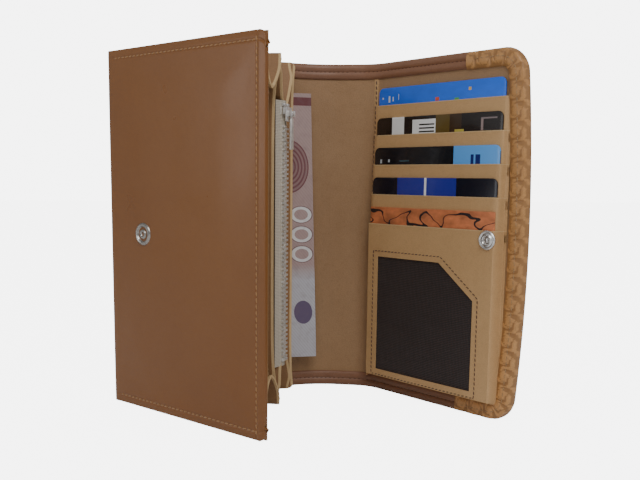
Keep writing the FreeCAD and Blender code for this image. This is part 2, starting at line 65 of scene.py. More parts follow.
UV_PER_MM = 0.01
Array = np.ndarray


def joint_place(name: str) -> Vector:
    """Return where a joint's axis stands, in millimetres.

    Args:
        name: The joint's name in the frame.

    Returns:
        The joint's position.
    """
    joint = next(entry for entry in frame["joints"] if entry["name"] == name)
    return Vector(joint["pos_m"]) / MM


# ------------------------------------------------------------------ surfaces that pieces lie on


@dataclass(frozen=True)
class Sizes:
    """Sizes of the whole wallet, in millimetres and degrees."""

    height: float = 189.0
    front_wide: float = 110.8
    back_wide: float = 114.0
    spine_wide: float = 32.0
    flap_wide: float = 99.0
    flap_bow: float = 5.0
    flap_corner: float = 12.0
    bow_start: float = 66.0
    fold_gap: float = 2.0
    lining: float = 1.0
    skin: float = 2.2
    front_angle: float = -57.9
    spine_angle: float = -26.9
    flap_angle: float = -66.3
    coin_front_angle: float = -25.5
    coin_rear_angle: float = -5.5
    zip_angle: float = -18.5
    zip_turn: float = -21.5
    chain_out: float = 88.8
    spine_bend: float = 13.0
    flap_bend: float = 8.0


SIZES = Sizes()


@dataclass(frozen=True)
class Panel:
    """A flat frame: X away from its fold, Y through the thickness, Z up."""

    origin: Vector
    angle: float

    def point(self, across: Array, up: Array, depth: Array | float) -> Array:
        """Return points of the panel in the wallet's frame.

        Args:
            across: Distances from the fold, in millimetres.
            up: Heights, in millimetres.
            depth: Distances along the panel's own Y, in millimetres.

        Returns:
            One row of metres for each point.
        """
        across, up, depth = np.broadcast_arrays(across, up, depth)
        cos, sin = math.cos(math.radians(self.angle)), math.sin(math.radians(self.angle))
        x = self.origin.x + across * cos - depth * sin
        y = self.origin.y + across * sin + depth * cos
        return np.stack([x, y, up], axis=-1) * MM


@dataclass(frozen=True)
class Stretch:
    """One straight or round part of the line that the outer leather follows in plan."""

    length: float
    start: tuple[float, float]
    heading: float
    turn: float = 0.0

    def at(self, along: Array) -> tuple[Array, Array, Array]:
        """Return x, y and heading in radians at distances along the stretch."""
        if self.turn == 0.0:
            x = self.start[0] + along * math.cos(self.heading)
            y = self.start[1] + along * math.sin(self.heading)
            return x, y, np.full_like(along, self.heading)
        radius = self.length / self.turn
        heading = self.heading + along / radius
        x = self.start[0] + radius * (np.sin(heading) - math.sin(self.heading))
        y = self.start[1] - radius * (np.cos(heading) - math.cos(self.heading))
        return x, y, heading


class Wrap:
    """The inner face of the wallet's skin, from the front panel's free edge round to the flap's."""

    def __init__(self, sizes: Sizes) -> None:
        """Lay out the straight and round stretches in order.

        Args:
            sizes: The wallet's sizes.
        """
        fold = joint_place("front_fold")
        front = math.radians(sizes.front_angle)
        normal = Vector((math.sin(front), -math.cos(front)))
        edge = Vector((math.cos(front), math.sin(front))) * sizes.front_wide
        x, y = fold.x + edge.x + normal.x * sizes.fold_gap, fold.y + edge.y + normal.y * sizes.fold_gap
        heading = front + math.pi
        spine_turn = math.radians(sizes.spine_angle)
        flap_turn = math.radians(sizes.flap_angle - sizes.spine_angle)
        spine_arc = sizes.spine_bend / math.tan(abs(spine_turn) / 2) * abs(spine_turn)
        flap_arc = sizes.flap_bend / math.tan(abs(flap_turn) / 2) * abs(flap_turn)
        fold_turn = -(math.pi + front)
        plan = [
            (sizes.front_wide, 0.0),
            (sizes.fold_gap * abs(fold_turn), fold_turn),
            (sizes.back_wide - sizes.spine_bend, 0.0),
            (spine_arc, spine_turn),
            (sizes.spine_wide - sizes.spine_bend - sizes.flap_bend, 0.0),
            (flap_arc, flap_turn),
            (sizes.flap_wide + sizes.flap_bow, 0.0),
        ]
        self.stretches: list[Stretch] = []
        self.starts: list[float] = []
        run = 0.0
        for length, turn in plan:
            stretch = Stretch(length, (x, y), heading, turn)
            self.stretches.append(stretch)
            self.starts.append(run)
            run += length
            ends = stretch.at(np.array([length]))
            x, y, heading = (float(value[0]) for value in ends)
        self.sizes = sizes

    def front(self, across: float) -> float:
        """Return the station of a distance from the edge fold on the front panel."""
        return self.sizes.front_wide - across

    def back(self, across: float) -> float:
        """Return the station of a distance from the edge fold on the back panel."""
        return self.starts[2] + across

    def spine(self, across: float) -> float:
        """Return the station of a distance from the spine's first bend."""
        return self.starts[4] + across - self.sizes.spine_bend

    def flap(self, across: float) -> float:
        """Return the station of a distance from the flap's bend."""
        return self.starts[6] + across - self.sizes.flap_bend

    def point(self, station: Array, up: Array, depth: Array | float) -> Array:
        """Return points off the wrap: depth is outwards from the inner face.

        Args:
            station: Distances along the wrap, in millimetres.
            up: Heights, in millimetres.
            depth: Distances outwards from the inner face, in millimetres.

        Returns:
            One row of metres for each point.
        """
        station, up, depth = (np.array(part, float) for part in np.broadcast_arrays(station, up, depth))
        x, y, heading = np.zeros_like(station), np.zeros_like(station), np.zeros_like(station)
        for index, (start, stretch) in enumerate(zip(self.starts, self.stretches)):
            chosen = station >= start if index else np.full(station.shape, True)
            px, py, angle = stretch.at(station - start)
            x, y, heading = (np.where(chosen, new, old) for new, old in ((px, x), (py, y), (angle, heading)))
        x, y = x - np.sin(heading) * depth, y + np.cos(heading) * depth
        return np.stack([x, y, up], axis=-1) * MM


WRAP = Wrap(SIZES)
EDGE = joint_place("front_fold")
BACK = Panel(EDGE, 0.0)
FRONT = Panel(EDGE, SIZES.front_angle)
COIN_FRONT = Panel(EDGE, SIZES.coin_front_angle)
COIN_REAR = Panel(EDGE, SIZES.coin_rear_angle)
FLAP = Panel(joint_place("flap_fold"), SIZES.flap_angle)


def zip_face() -> Panel:
    """Return the zip's own frame, turned about its chain to face out of the pocket's mouth."""
    lean = math.radians(SIZES.zip_angle)
    turned = math.radians(SIZES.zip_angle + SIZES.zip_turn)
    along = Vector((math.cos(lean), math.sin(lean), 0.0)) - Vector((math.cos(turned), math.sin(turned), 0.0))
    return Panel(EDGE + along * SIZES.chain_out, SIZES.zip_angle + SIZES.zip_turn)


ZIP = zip_face()


def rise(value: Array | float, low: float, high: float) -> Array:
    """Return 0 below low, 1 above high and a smooth climb between them."""
    share = np.clip((np.asarray(value, float) - low) / (high - low), 0.0, 1.0)
    return share * share * (3.0 - 2.0 * share)


def corner_lift(from_edge: Array, radius: float) -> Array:
    """Return how far a round corner lifts the lower edge at distances from the free edge."""
    inside = np.clip(radius - np.asarray(from_edge, float), 0.0, radius)
    return radius - np.sqrt(radius * radius - inside * inside)


def flap_outline(across: Array, up: Array) -> tuple[Array, Array]:
    """Bow the flap's free edge and round its corners.

    Args:
        across: Distances from the flap's bend before shaping.
        up: Heights before shaping.

    Returns:
        The shaped distances and heights.
    """
    lift = corner_lift(SIZES.flap_wide - across, SIZES.flap_corner)
    up = lift + (SIZES.height - 2 * lift) * up / SIZES.height
    share = np.clip((across - SIZES.bow_start) / (SIZES.flap_wide - SIZES.bow_start), 0.0, 1.0)
    return across + SIZES.flap_bow * share * (1 - (2 * up / SIZES.height - 1) ** 2), up


# ------------------------------------------------------------------ modelling tools


class Bench:
    """Edit-mode and modifier work that several sub-assemblies share."""

    @staticmethod
    def clear() -> None:
        """Deselect everything, so that an operator acts on new work only."""
        if bpy.context.object and bpy.context.object.mode != "OBJECT":
            bpy.ops.object.mode_set(mode="OBJECT")
        bpy.ops.object.select_all(action="DESELECT")

    @staticmethod
    def activate(piece: bpy.types.Object) -> None:
        """Select one piece alone and make it active."""
        Bench.clear()
        piece.select_set(True)
        bpy.context.view_layer.objects.active = piece

    @staticmethod
    def grid(name: str, across: Array, up: Array, place: Callable[[Array, Array], Array]) -> bpy.types.Object:
        """Add a grid and lay its vertices on a surface.

        Args:
            name: The piece's name.
            across: The grid's lines one way, in millimetres.
            up: The grid's lines the other way.
            place: Gives metres for arrays of both.

        Returns:
            The sheet, facing the outer side.
        """
        Bench.clear()
        bpy.ops.mesh.primitive_grid_add(
            x_subdivisions=len(across) - 1, y_subdivisions=len(up) - 1, size=2.0
        )
        piece = bpy.context.object
        piece.name = name
        mesh = piece.data
        mesh.name = name
        co = np.zeros(len(mesh.vertices) * 3, np.float32)
        mesh.vertices.foreach_get("co", co)
        co = co.reshape(-1, 3)
        column = np.rint((co[:, 0] + 1) / 2 * (len(across) - 1)).astype(int)
        level = np.rint((co[:, 1] + 1) / 2 * (len(up) - 1)).astype(int)
        a, b = np.asarray(across, float)[column], np.asarray(up, float)[level]
        mesh.vertices.foreach_set("co", place(a, b).astype(np.float32).ravel())
        corner = np.zeros(len(mesh.loops), np.int32)
        mesh.loops.foreach_get("vertex_index", corner)
        uv = np.stack([a[corner], b[corner]], axis=-1) * UV_PER_MM
        mesh.uv_layers[0].data.foreach_set("uv", uv.astype(np.float32).ravel())
        mesh.flip_normals()
        mesh.update()
        return piece

    @staticmethod
    def apply(piece: bpy.types.Object, kind: str, **settings: object) -> None:
        """Add a modifier, set it up and apply it."""
        Bench.activate(piece)
        modifier = piece.modifiers.new(kind.title(), kind)
        for key, value in settings.items():
            setattr(modifier, key, value)
        bpy.ops.object.modifier_apply(modifier=modifier.name)

    @staticmethod
    def thicken(piece: bpy.types.Object, thickness: float, rim: int = 0) -> None:
        """Give a sheet its thickness on its inner side.

        Args:
            piece: The sheet.
            thickness: In millimetres.
            rim: How many material slots on the cut edge's finish is.
        """
        Bench.apply(
            piece, "SOLIDIFY", thickness=thickness * MM, offset=-1.0, material_offset_rim=rim
        )

    @staticmethod
    def soften(
        piece: bpy.types.Object,
        width: float,
        segments: int = 2,
        spared: Callable[[Vector], bool] | None = None,
        sharp: float = 50.0,
    ) -> None:
        """Round a piece's sharp edges and shade it smooth.

        Args:
            piece: The piece.
            width: The rounding, in millimetres.
            segments: Steps round the edge.
            spared: Says whether both ends of an edge lie where it must stay square.
            sharp: The angle between faces from which an edge counts, in degrees.
        """
        mesh = bmesh.new()
        mesh.from_mesh(piece.data)
        weight = mesh.edges.layers.float.new("bevel_weight_edge")
        for edge in mesh.edges:
            if len(edge.link_faces) != 2 or edge.calc_face_angle() < math.radians(sharp):
                continue
            if spared and all(spared(vertex.co) for vertex in edge.verts):
                continue
            edge[weight] = 1.0
        mesh.to_mesh(piece.data)
        mesh.free()
        Bench.apply(
            piece,
            "BEVEL",
            width=width * MM,
            segments=segments,
            limit_method="WEIGHT",
            use_clamp_overlap=True,
        )
        Bench.activate(piece)
        bpy.ops.object.shade_smooth_by_angle(angle=math.radians(42.0))

    @staticmethod
    def band(piece: bpy.types.Object, rule: Callable[[Array, Array], Array]) -> None:
        """Give the second finish to faces where a rule holds at their place on the sheet, in millimetres."""
        mesh = piece.data
        uv = np.zeros(len(mesh.loops) * 2, np.float32)
        mesh.uv_layers[0].data.foreach_get("uv", uv)
        uv = uv.reshape(-1, 2) / UV_PER_MM
        for face in mesh.polygons:
            middle = uv[face.loop_start : face.loop_start + face.loop_total].mean(axis=0)
            if rule(middle[0], middle[1]):
                face.material_index = 1

    @staticmethod
    def block(name: str, low: Sequence[float], high: Sequence[float]) -> bpy.types.Object:
        """Add a box between two corners given in millimetres."""
        Bench.clear()
        centre = [(a + b) / 2 for a, b in zip(low, high)]
        bpy.ops.mesh.primitive_cube_add(size=1.0, location=centre)
        piece = bpy.context.object
        piece.name = name
        piece.scale = [b - a for a, b in zip(low, high)]
        bpy.ops.object.transform_apply(location=True, rotation=True, scale=True)
        return piece

    @staticmethod
    def lay(piece: bpy.types.Object, panel: Panel) -> None:
        """Move a piece drawn in a panel's millimetres to its place in the wallet."""
        co = np.zeros(len(piece.data.vertices) * 3, np.float32)
        piece.data.vertices.foreach_get("co", co)
        co = co.reshape(-1, 3)
        moved = panel.point(co[:, 0], co[:, 2], co[:, 1])
        piece.data.vertices.foreach_set("co", moved.astype(np.float32).ravel())
        piece.data.update()

    @staticmethod
    def spun(name: str, profile: Sequence[tuple[float, float]], steps: int = 48) -> bpy.types.Object:
        """Spin a profile of (radius, height) corners, in millimetres, about local Y.

        Args:
            name: The piece's name.
            profile: Corners from the axis out and back to it.
            steps: Segments round.

        Returns:
            The closed solid, centred on the axis.
        """
        Bench.clear()
        bpy.ops.mesh.primitive_plane_add(size=1.0)
        piece = bpy.context.object
        piece.name = name
        mesh = bmesh.new()
        points = [mesh.verts.new((radius, height, 0.0)) for radius, height in profile]
        for one, two in zip(points, points[1:]):
            mesh.edges.new((one, two))
        mesh.to_mesh(piece.data)
        mesh.free()
        bpy.ops.object.mode_set(mode="EDIT")
        bpy.ops.mesh.select_all(action="SELECT")
        bpy.ops.mesh.spin(steps=steps, angle=math.tau, center=(0, 0, 0), axis=(0, 1, 0))
        bpy.ops.mesh.select_all(action="SELECT")
        bpy.ops.mesh.remove_doubles(threshold=0.001)
        bpy.ops.mesh.normals_make_consistent(inside=False)
        bpy.ops.object.mode_set(mode="OBJECT")
        return piece

    @staticmethod
    def join(name: str, pieces: Sequence[bpy.types.Object]) -> bpy.types.Object:
        """Join pieces into one."""
        Bench.clear()
        for piece in pieces:
            piece.select_set(True)
        bpy.context.view_layer.objects.active = pieces[0]
        bpy.ops.object.join()
        pieces[0].name = name
        return pieces[0]

    @staticmethod
    def stamp(name: str, template: bpy.types.Object, places: Array, turns: Array) -> bpy.types.Object:
        """Copy a small shape to many places as one piece.

        Args:
            name: The new piece's name.
            template: The shape, in metres about its own origin; it is used up.
            places: One row of metres for each copy.
            turns: A 3 by 3 matrix for each copy.

        Returns:
            The joined copies.
        """
        mesh = template.data
        base = np.array([vertex.co for vertex in mesh.vertices])
        faces = [list(face.vertices) for face in mesh.polygons]
        points = (np.einsum("nij,vj->nvi", turns, base) + places[:, None, :]).reshape(-1, 3)
        repeated = [
            [corner + number * len(base) for corner in face] for number in range(len(places)) for face in faces
        ]
        copy = bpy.data.meshes.new(name)
        copy.from_pydata(points.tolist(), [], repeated)
        copy.shade_smooth()
        piece = bpy.data.objects.new(name, copy)
        bpy.context.scene.collection.objects.link(piece)
        bpy.data.objects.remove(template)
        return piece


def lines(start: float, end: float, step: float, extra: Sequence[float] = ()) -> Array:
    """Return evenly spaced grid lines with extra ones between, in order."""
    count = max(2, int(round(abs(end - start) / step)) + 1)
    low, high = min(start, end), max(start, end)
    found = np.concatenate([np.linspace(start, end, count), [e for e in extra if low < e < high]])
    found = np.unique(np.round(found, 3))
    keep = [found[0]]
    for value in found[1:]:
        if value - keep[-1] > 0.12:
            keep.append(value)
    keep[-1] = found[-1]
    return np.array(keep)


# ------------------------------------------------------------------ finishes


class Graph:
    """A material and short calls that add nodes to it."""

    def __init__(self, name: str) -> None:
        """Start a material with its Principled shader."""
        self.material = bpy.data.materials.new(name)
        self.material.use_nodes = True
        self.tree = self.material.node_tree
        self.shader = self.tree.nodes["Principled BSDF"]
        coordinates = self.tree.nodes.new("ShaderNodeTexCoord")
        self.object = coordinates.outputs["Object"]
        self.uv = coordinates.outputs["UV"]

    def node(self, kind: str, inputs: dict[str | int, object] | None = None, **settings: object) -> bpy.types.Node:
        """Add a node, set it up and feed its inputs.

        Args:
            kind: The node's type.
            inputs: A value or an output for each input.
            settings: The node's own properties.

        Returns:
            The node.
        """
        made = self.tree.nodes.new(kind)
        for key, value in settings.items():
            setattr(made, key, value)
        for key, value in (inputs or {}).items():
            if isinstance(value, bpy.types.NodeSocket):
                self.tree.links.new(value, made.inputs[key])
            else:
                made.inputs[key].default_value = value
        return made

    def math(self, operation: str, one: object, two: object = 0.0, three: object = 0.0) -> bpy.types.NodeSocket:
        """Return the output of a Math node."""
        made = self.node("ShaderNodeMath", {0: one, 1: two, 2: three}, operation=operation)
        return made.outputs[0]

    def noise(
        self, scale: float, detail: float = 3.0, rough: float = 0.5, vector: object = None
    ) -> bpy.types.NodeSocket:
        """Return a noise pattern from 0 to 1."""
        source = vector or self.object
        inputs = {"Vector": source, "Scale": scale, "Detail": detail, "Roughness": rough}
        return self.node("ShaderNodeTexNoise", inputs).outputs["Fac"]

    def cells(self, scale: float, feature: str = "DISTANCE_TO_EDGE", vector: object = None) -> bpy.types.NodeSocket:
        """Return the distance pattern of a Voronoi texture."""
        inputs = {"Vector": vector or self.object, "Scale": scale}
        return self.node("ShaderNodeTexVoronoi", inputs, feature=feature).outputs["Distance"]

    def blend(self, share: object, one: object, two: object) -> bpy.types.NodeSocket:
        """Return a mix of two colours."""
        made = self.node("ShaderNodeMix", {"Factor": share}, data_type="RGBA")
        for index, value in ((6, one), (7, two)):
            if isinstance(value, bpy.types.NodeSocket):
                self.tree.links.new(value, made.inputs[index])
            else:
                made.inputs[index].default_value = (*value, 1.0)
        return made.outputs[2]

    def ramp(
        self, share: object, low: float, high: float, bottom: float = 0.0, top: float = 1.0
    ) -> bpy.types.NodeSocket:
        """Return a value mapped from one range to another and held at its ends."""
        inputs = {"Value": share, "From Min": low, "From Max": high, "To Min": bottom, "To Max": top}
        return self.node("ShaderNodeMapRange", inputs).outputs["Result"]

    def bump(self, height: object, strength: float, distance: float, after: object = None) -> bpy.types.NodeSocket:
        """Return a normal bumped by a height."""
        inputs: dict[str | int, object] = {"Height": height, "Strength": strength, "Distance": distance}
        if after is not None:
            inputs["Normal"] = after
        return self.node("ShaderNodeBump", inputs).outputs["Normal"]

    def colour(self, value: object) -> None:
        """Set the shader's base colour."""
        self.feed("Base Color", value)

    def feed(self, socket: str, value: object) -> None:
        """Set or link one of the shader's sockets."""
        if isinstance(value, bpy.types.NodeSocket):
            self.tree.links.new(value, self.shader.inputs[socket])
        elif isinstance(value, tuple) and len(value) == 3:
            self.shader.inputs[socket].default_value = (*value, 1.0)
        else:
            self.shader.inputs[socket].default_value = value

    def where(self, socket: object, low: float, high: float) -> bpy.types.NodeSocket:
        """Return 1 where a value lies between two limits and 0 elsewhere."""
        above = self.math("GREATER_THAN", socket, low)
        return self.math("MULTIPLY", above, self.math("LESS_THAN", socket, high))

    def ellipse(
        self, u: object, v: object, centre: tuple[float, float], radii: tuple[float, float]
    ) -> bpy.types.NodeSocket:
        """Return the scaled distance from an ellipse's centre, 1 on its edge."""
        across = self.math("DIVIDE", self.math("SUBTRACT", u, centre[0]), radii[0])
        up = self.math("DIVIDE", self.math("SUBTRACT", v, centre[1]), radii[1])
        total = self.math("ADD", self.math("MULTIPLY", across, across), self.math("MULTIPLY", up, up))
        return self.math("SQRT", total)


@dataclass(frozen=True)
class Leather:
    """A leather finish."""

    name: str
    colour: tuple[float, float, float]
    shade: tuple[float, float, float]
    grain: float = 900.0
    depth: float = 0.35
    roughness: float = 0.45
    coat: float = 0.0
    sheen: float = 0.0
    relief: bool = False
    # deep: the UV range, in mm across, over which painted shade lifts; below its start the colour is painted down to
    # deep shade.
    deep: tuple[float, float] | None = None

    def make(self) -> bpy.types.Material:
        """Return the material: pores, fine grain, slow colour drift, rubbed patches and, where deep is set, painted
        shade towards small UV x.
        """
        graph = Graph(self.name)
        drift = graph.noise(14.0, 4.0, 0.6)
        fine = graph.noise(self.grain * 0.35, 3.0, 0.6)
        share = graph.ramp(graph.math("ADD", drift, graph.math("MULTIPLY", fine, 0.35)), 0.45, 0.85)
        tone = graph.blend(share, self.shade, self.colour)
        pores = graph.cells(self.grain)
        pits = graph.ramp(pores, 0.0, 0.12)
        tone = graph.blend(graph.ramp(pits, 0.0, 1.0, 0.22, 0.0), tone, tuple(part * 0.55 for part in self.shade))
        if self.relief:
            raised = graph.node("ShaderNodeAttribute", attribute_name="relief").outputs["Fac"]
            rubbed = graph.ramp(raised, 0.15, 0.75)
            tone = graph.blend(rubbed, tuple(part * 0.74 for part in self.shade), tone)
        # Painted shade: darker towards small UV x, the inside of the coin pocket, down to 0.16 of the shade colour.
        if self.deep:
            across = graph.node("ShaderNodeSeparateXYZ", {0: graph.uv}).outputs[0]
            near = graph.ramp(across, self.deep[0] * UV_PER_MM, self.deep[1] * UV_PER_MM)
            tone = graph.blend(near, tuple(part * 0.16 for part in self.shade), tone)
        graph.colour(tone)
        patches = graph.noise(38.0, 3.0, 0.55)
        graph.feed("Roughness", graph.ramp(patches, 0.3, 0.7, self.roughness - 0.07, self.roughness + 0.08))
        height = graph.math("ADD", graph.math("MULTIPLY", pits, 0.7), graph.math("MULTIPLY", fine, 0.6))
        small = graph.bump(height, self.depth, 0.00012)
        graph.feed("Normal", graph.bump(graph.noise(60.0, 3.0, 0.5), 0.25, 0.0006, small))
        graph.feed("Coat Weight", self.coat)
        graph.feed("Coat Roughness", 0.3)
        graph.feed("Sheen Weight", self.sheen)
        graph.feed("Specular IOR Level", 0.45)
        return graph.material


@dataclass(frozen=True)
class Metal:
    """A plated metal finish."""

    name: str
    colour: tuple[float, float, float]
    roughness: float = 0.22
    metallic: float = 1.0

    def make(self) -> bpy.types.Material:
        """Return the material: brushed plate with faint tarnish."""
        graph = Graph(self.name)
        tarnish = graph.ramp(graph.noise(420.0, 4.0, 0.6), 0.42, 0.72)
        graph.colour(graph.blend(tarnish, self.colour, tuple(part * 0.72 for part in self.colour)))
        graph.feed("Metallic", self.metallic)
        wear = graph.noise(900.0, 2.0)
        graph.feed("Roughness", graph.ramp(wear, 0.3, 0.7, self.roughness - 0.05, self.roughness + 0.12))
        graph.feed("Normal", graph.bump(graph.noise(1800.0, 2.0), 0.12, 0.00005))
        return graph.material


@dataclass(frozen=True)
class Thread:
    """Waxed sewing thread."""

    name: str
    colour: tuple[float, float, float]

    def make(self) -> bpy.types.Material:
        """Return the material: twisted plies along the thread."""
        graph = Graph(self.name)
        plies = graph.noise(2600.0, 2.0)
        graph.colour(graph.blend(graph.ramp(plies, 0.35, 0.65), tuple(c * 0.6 for c in self.colour), self.colour))
        graph.feed("Roughness", 0.62)
        graph.feed("Sheen Weight", 0.25)
        graph.feed("Normal", graph.bump(plies, 0.5, 0.0001))
        return graph.material


@dataclass(frozen=True)
class Weave:
    """A woven cloth finish on the piece's own UV map."""

    name: str
    colour: tuple[float, float, float]
    shade: tuple[float, float, float]
    pitch: float
    gloss: float = 0.7

    def make(self) -> bpy.types.Material:
        """Return the material: crossing threads with gaps between them."""
        graph = Graph(self.name)
        split = graph.node("ShaderNodeSeparateXYZ", {0: graph.uv})
        rate = math.pi / (self.pitch * UV_PER_MM)
        over = graph.math("ABSOLUTE", graph.math("SINE", graph.math("MULTIPLY", split.outputs[0], rate)))
        under = graph.math("ABSOLUTE", graph.math("SINE", graph.math("MULTIPLY", split.outputs[1], rate)))
        height = graph.math("MULTIPLY", over, under)
        fluff = graph.noise(1500.0, 2.0)
        share = graph.math("ADD", height, graph.math("MULTIPLY", graph.math("SUBTRACT", fluff, 0.5), 0.5))
        graph.colour(graph.blend(graph.ramp(share, 0.15, 0.75), self.shade, self.colour))
        graph.feed("Roughness", self.gloss)
        graph.feed("Sheen Weight", 0.2)
        graph.feed("Normal", graph.bump(share, 0.7, 0.0002))
        return graph.material


@dataclass(frozen=True)
class Stripe:
    """One printed block: where it lies across and up a card, as shares, and its colour."""

    left: float
    right: float
    colour: tuple[float, float, float]
    low: float = -1.0
    high: float = 2.0


@dataclass(frozen=True)
class Print:
    """A printed card on its own UV map, which runs from 0 to 1 each way."""

    name: str
    ground: tuple[float, float, float]
    stripes: tuple[Stripe, ...] = ()
    swirl: tuple[float, float, float] | None = None
    mottle: float = 0.12
    roughness: float = 0.25

    def make(self) -> bpy.types.Material:
        """Return the material: a mottled ground with printed blocks and, on some, loose curves."""
        graph = Graph(self.name)
        split = graph.node("ShaderNodeSeparateXYZ", {0: graph.uv})
        u, v = split.outputs[0], split.outputs[1]
        cloud = graph.ramp(graph.noise(9.0, 3.0, vector=graph.uv), 0.35, 0.65)
        tone = graph.blend(cloud, tuple(part * (1 - self.mottle) for part in self.ground), self.ground)
        for stripe in self.stripes:
            inside = graph.math(
                "MULTIPLY", graph.where(u, stripe.left, stripe.right), graph.where(v, stripe.low, stripe.high)
            )
            tone = graph.blend(inside, tone, stripe.colour)
        if self.swirl:
            wobble = graph.math("MULTIPLY", graph.noise(5.0, 1.0, vector=graph.uv), 0.5)
            wave = graph.math("SINE", graph.math("MULTIPLY", graph.math("ADD", u, wobble), 26.0))
            height = graph.math("MULTIPLY_ADD", wave, 0.07, 0.9)
            line = graph.math("ABSOLUTE", graph.math("SUBTRACT", v, height))
            tone = graph.blend(graph.math("LESS_THAN", line, 0.012), tone, self.swirl)
        graph.colour(tone)
        graph.feed("Roughness", self.roughness)
        graph.feed("Coat Weight", 0.25)
        graph.feed("Normal", graph.bump(graph.noise(700.0, 2.0), 0.08, 0.00005))
        return graph.material


@dataclass(frozen=True)
class NotePaper:
    """Printed cotton paper for the banknote, with plain rings and bands."""

    name: str = "banknote_paper"

    def make(self) -> bpy.types.Material:
        """Return the material: pink and silver bands, a maroon rosette, rings and a violet oval."""
        graph = Graph(self.name)
        split = graph.node("ShaderNodeSeparateXYZ", {0: graph.uv})
        u, v = split.outputs[0], split.outputs[1]
        pink, silver, maroon, violet = (0.42, 0.30, 0.28), (0.52, 0.52, 0.56), (0.16, 0.045, 0.05), (0.13, 0.09, 0.17)
        tone = graph.blend(graph.ramp(v, 0.30, 0.36), silver, pink)
        waves = graph.math("SINE", graph.math("MULTIPLY", graph.math("ADD", v, graph.math("MULTIPLY", u, 0.6)), 420.0))
        tone = graph.blend(graph.ramp(waves, 0.2, 1.0, 0.0, 0.22), tone, (0.26, 0.15, 0.17))
        tone = graph.blend(graph.where(v, 0.955, 0.985), tone, maroon)
        rosette = graph.ellipse(u, v, (0.80, 0.73), (0.17, 0.10))
        petals = graph.math("SINE", graph.math("MULTIPLY", rosette, 40.0))
        shaded = graph.math("MULTIPLY", graph.math("LESS_THAN", rosette, 1.0), graph.ramp(petals, -0.6, 0.8, 0.5, 0.95))
        tone = graph.blend(shaded, tone, maroon)
        for centre in (0.55, 0.475, 0.40):
            ring = graph.ellipse(u, v, (0.90, centre), (0.085, 0.030))
            inked = graph.where(ring, 0.66, 1.0)
            tone = graph.blend(inked, tone, (0.72, 0.70, 0.70))
            rim = graph.where(ring, 1.0, 1.1)
            tone = graph.blend(rim, tone, (0.20, 0.12, 0.12))
        seal = graph.ellipse(u, v, (0.90, 0.175), (0.075, 0.045))
        tone = graph.blend(graph.math("LESS_THAN", seal, 1.0), tone, violet)
        speck = graph.noise(260.0, 3.0, vector=graph.object)
        tone = graph.blend(graph.ramp(speck, 0.5, 0.75, 0.0, 0.25), tone, (0.20, 0.14, 0.15))
        graph.colour(tone)
        graph.feed("Roughness", 0.5)
        graph.feed("Normal", graph.bump(graph.noise(500.0, 3.0), 0.2, 0.0001))
        return graph.material


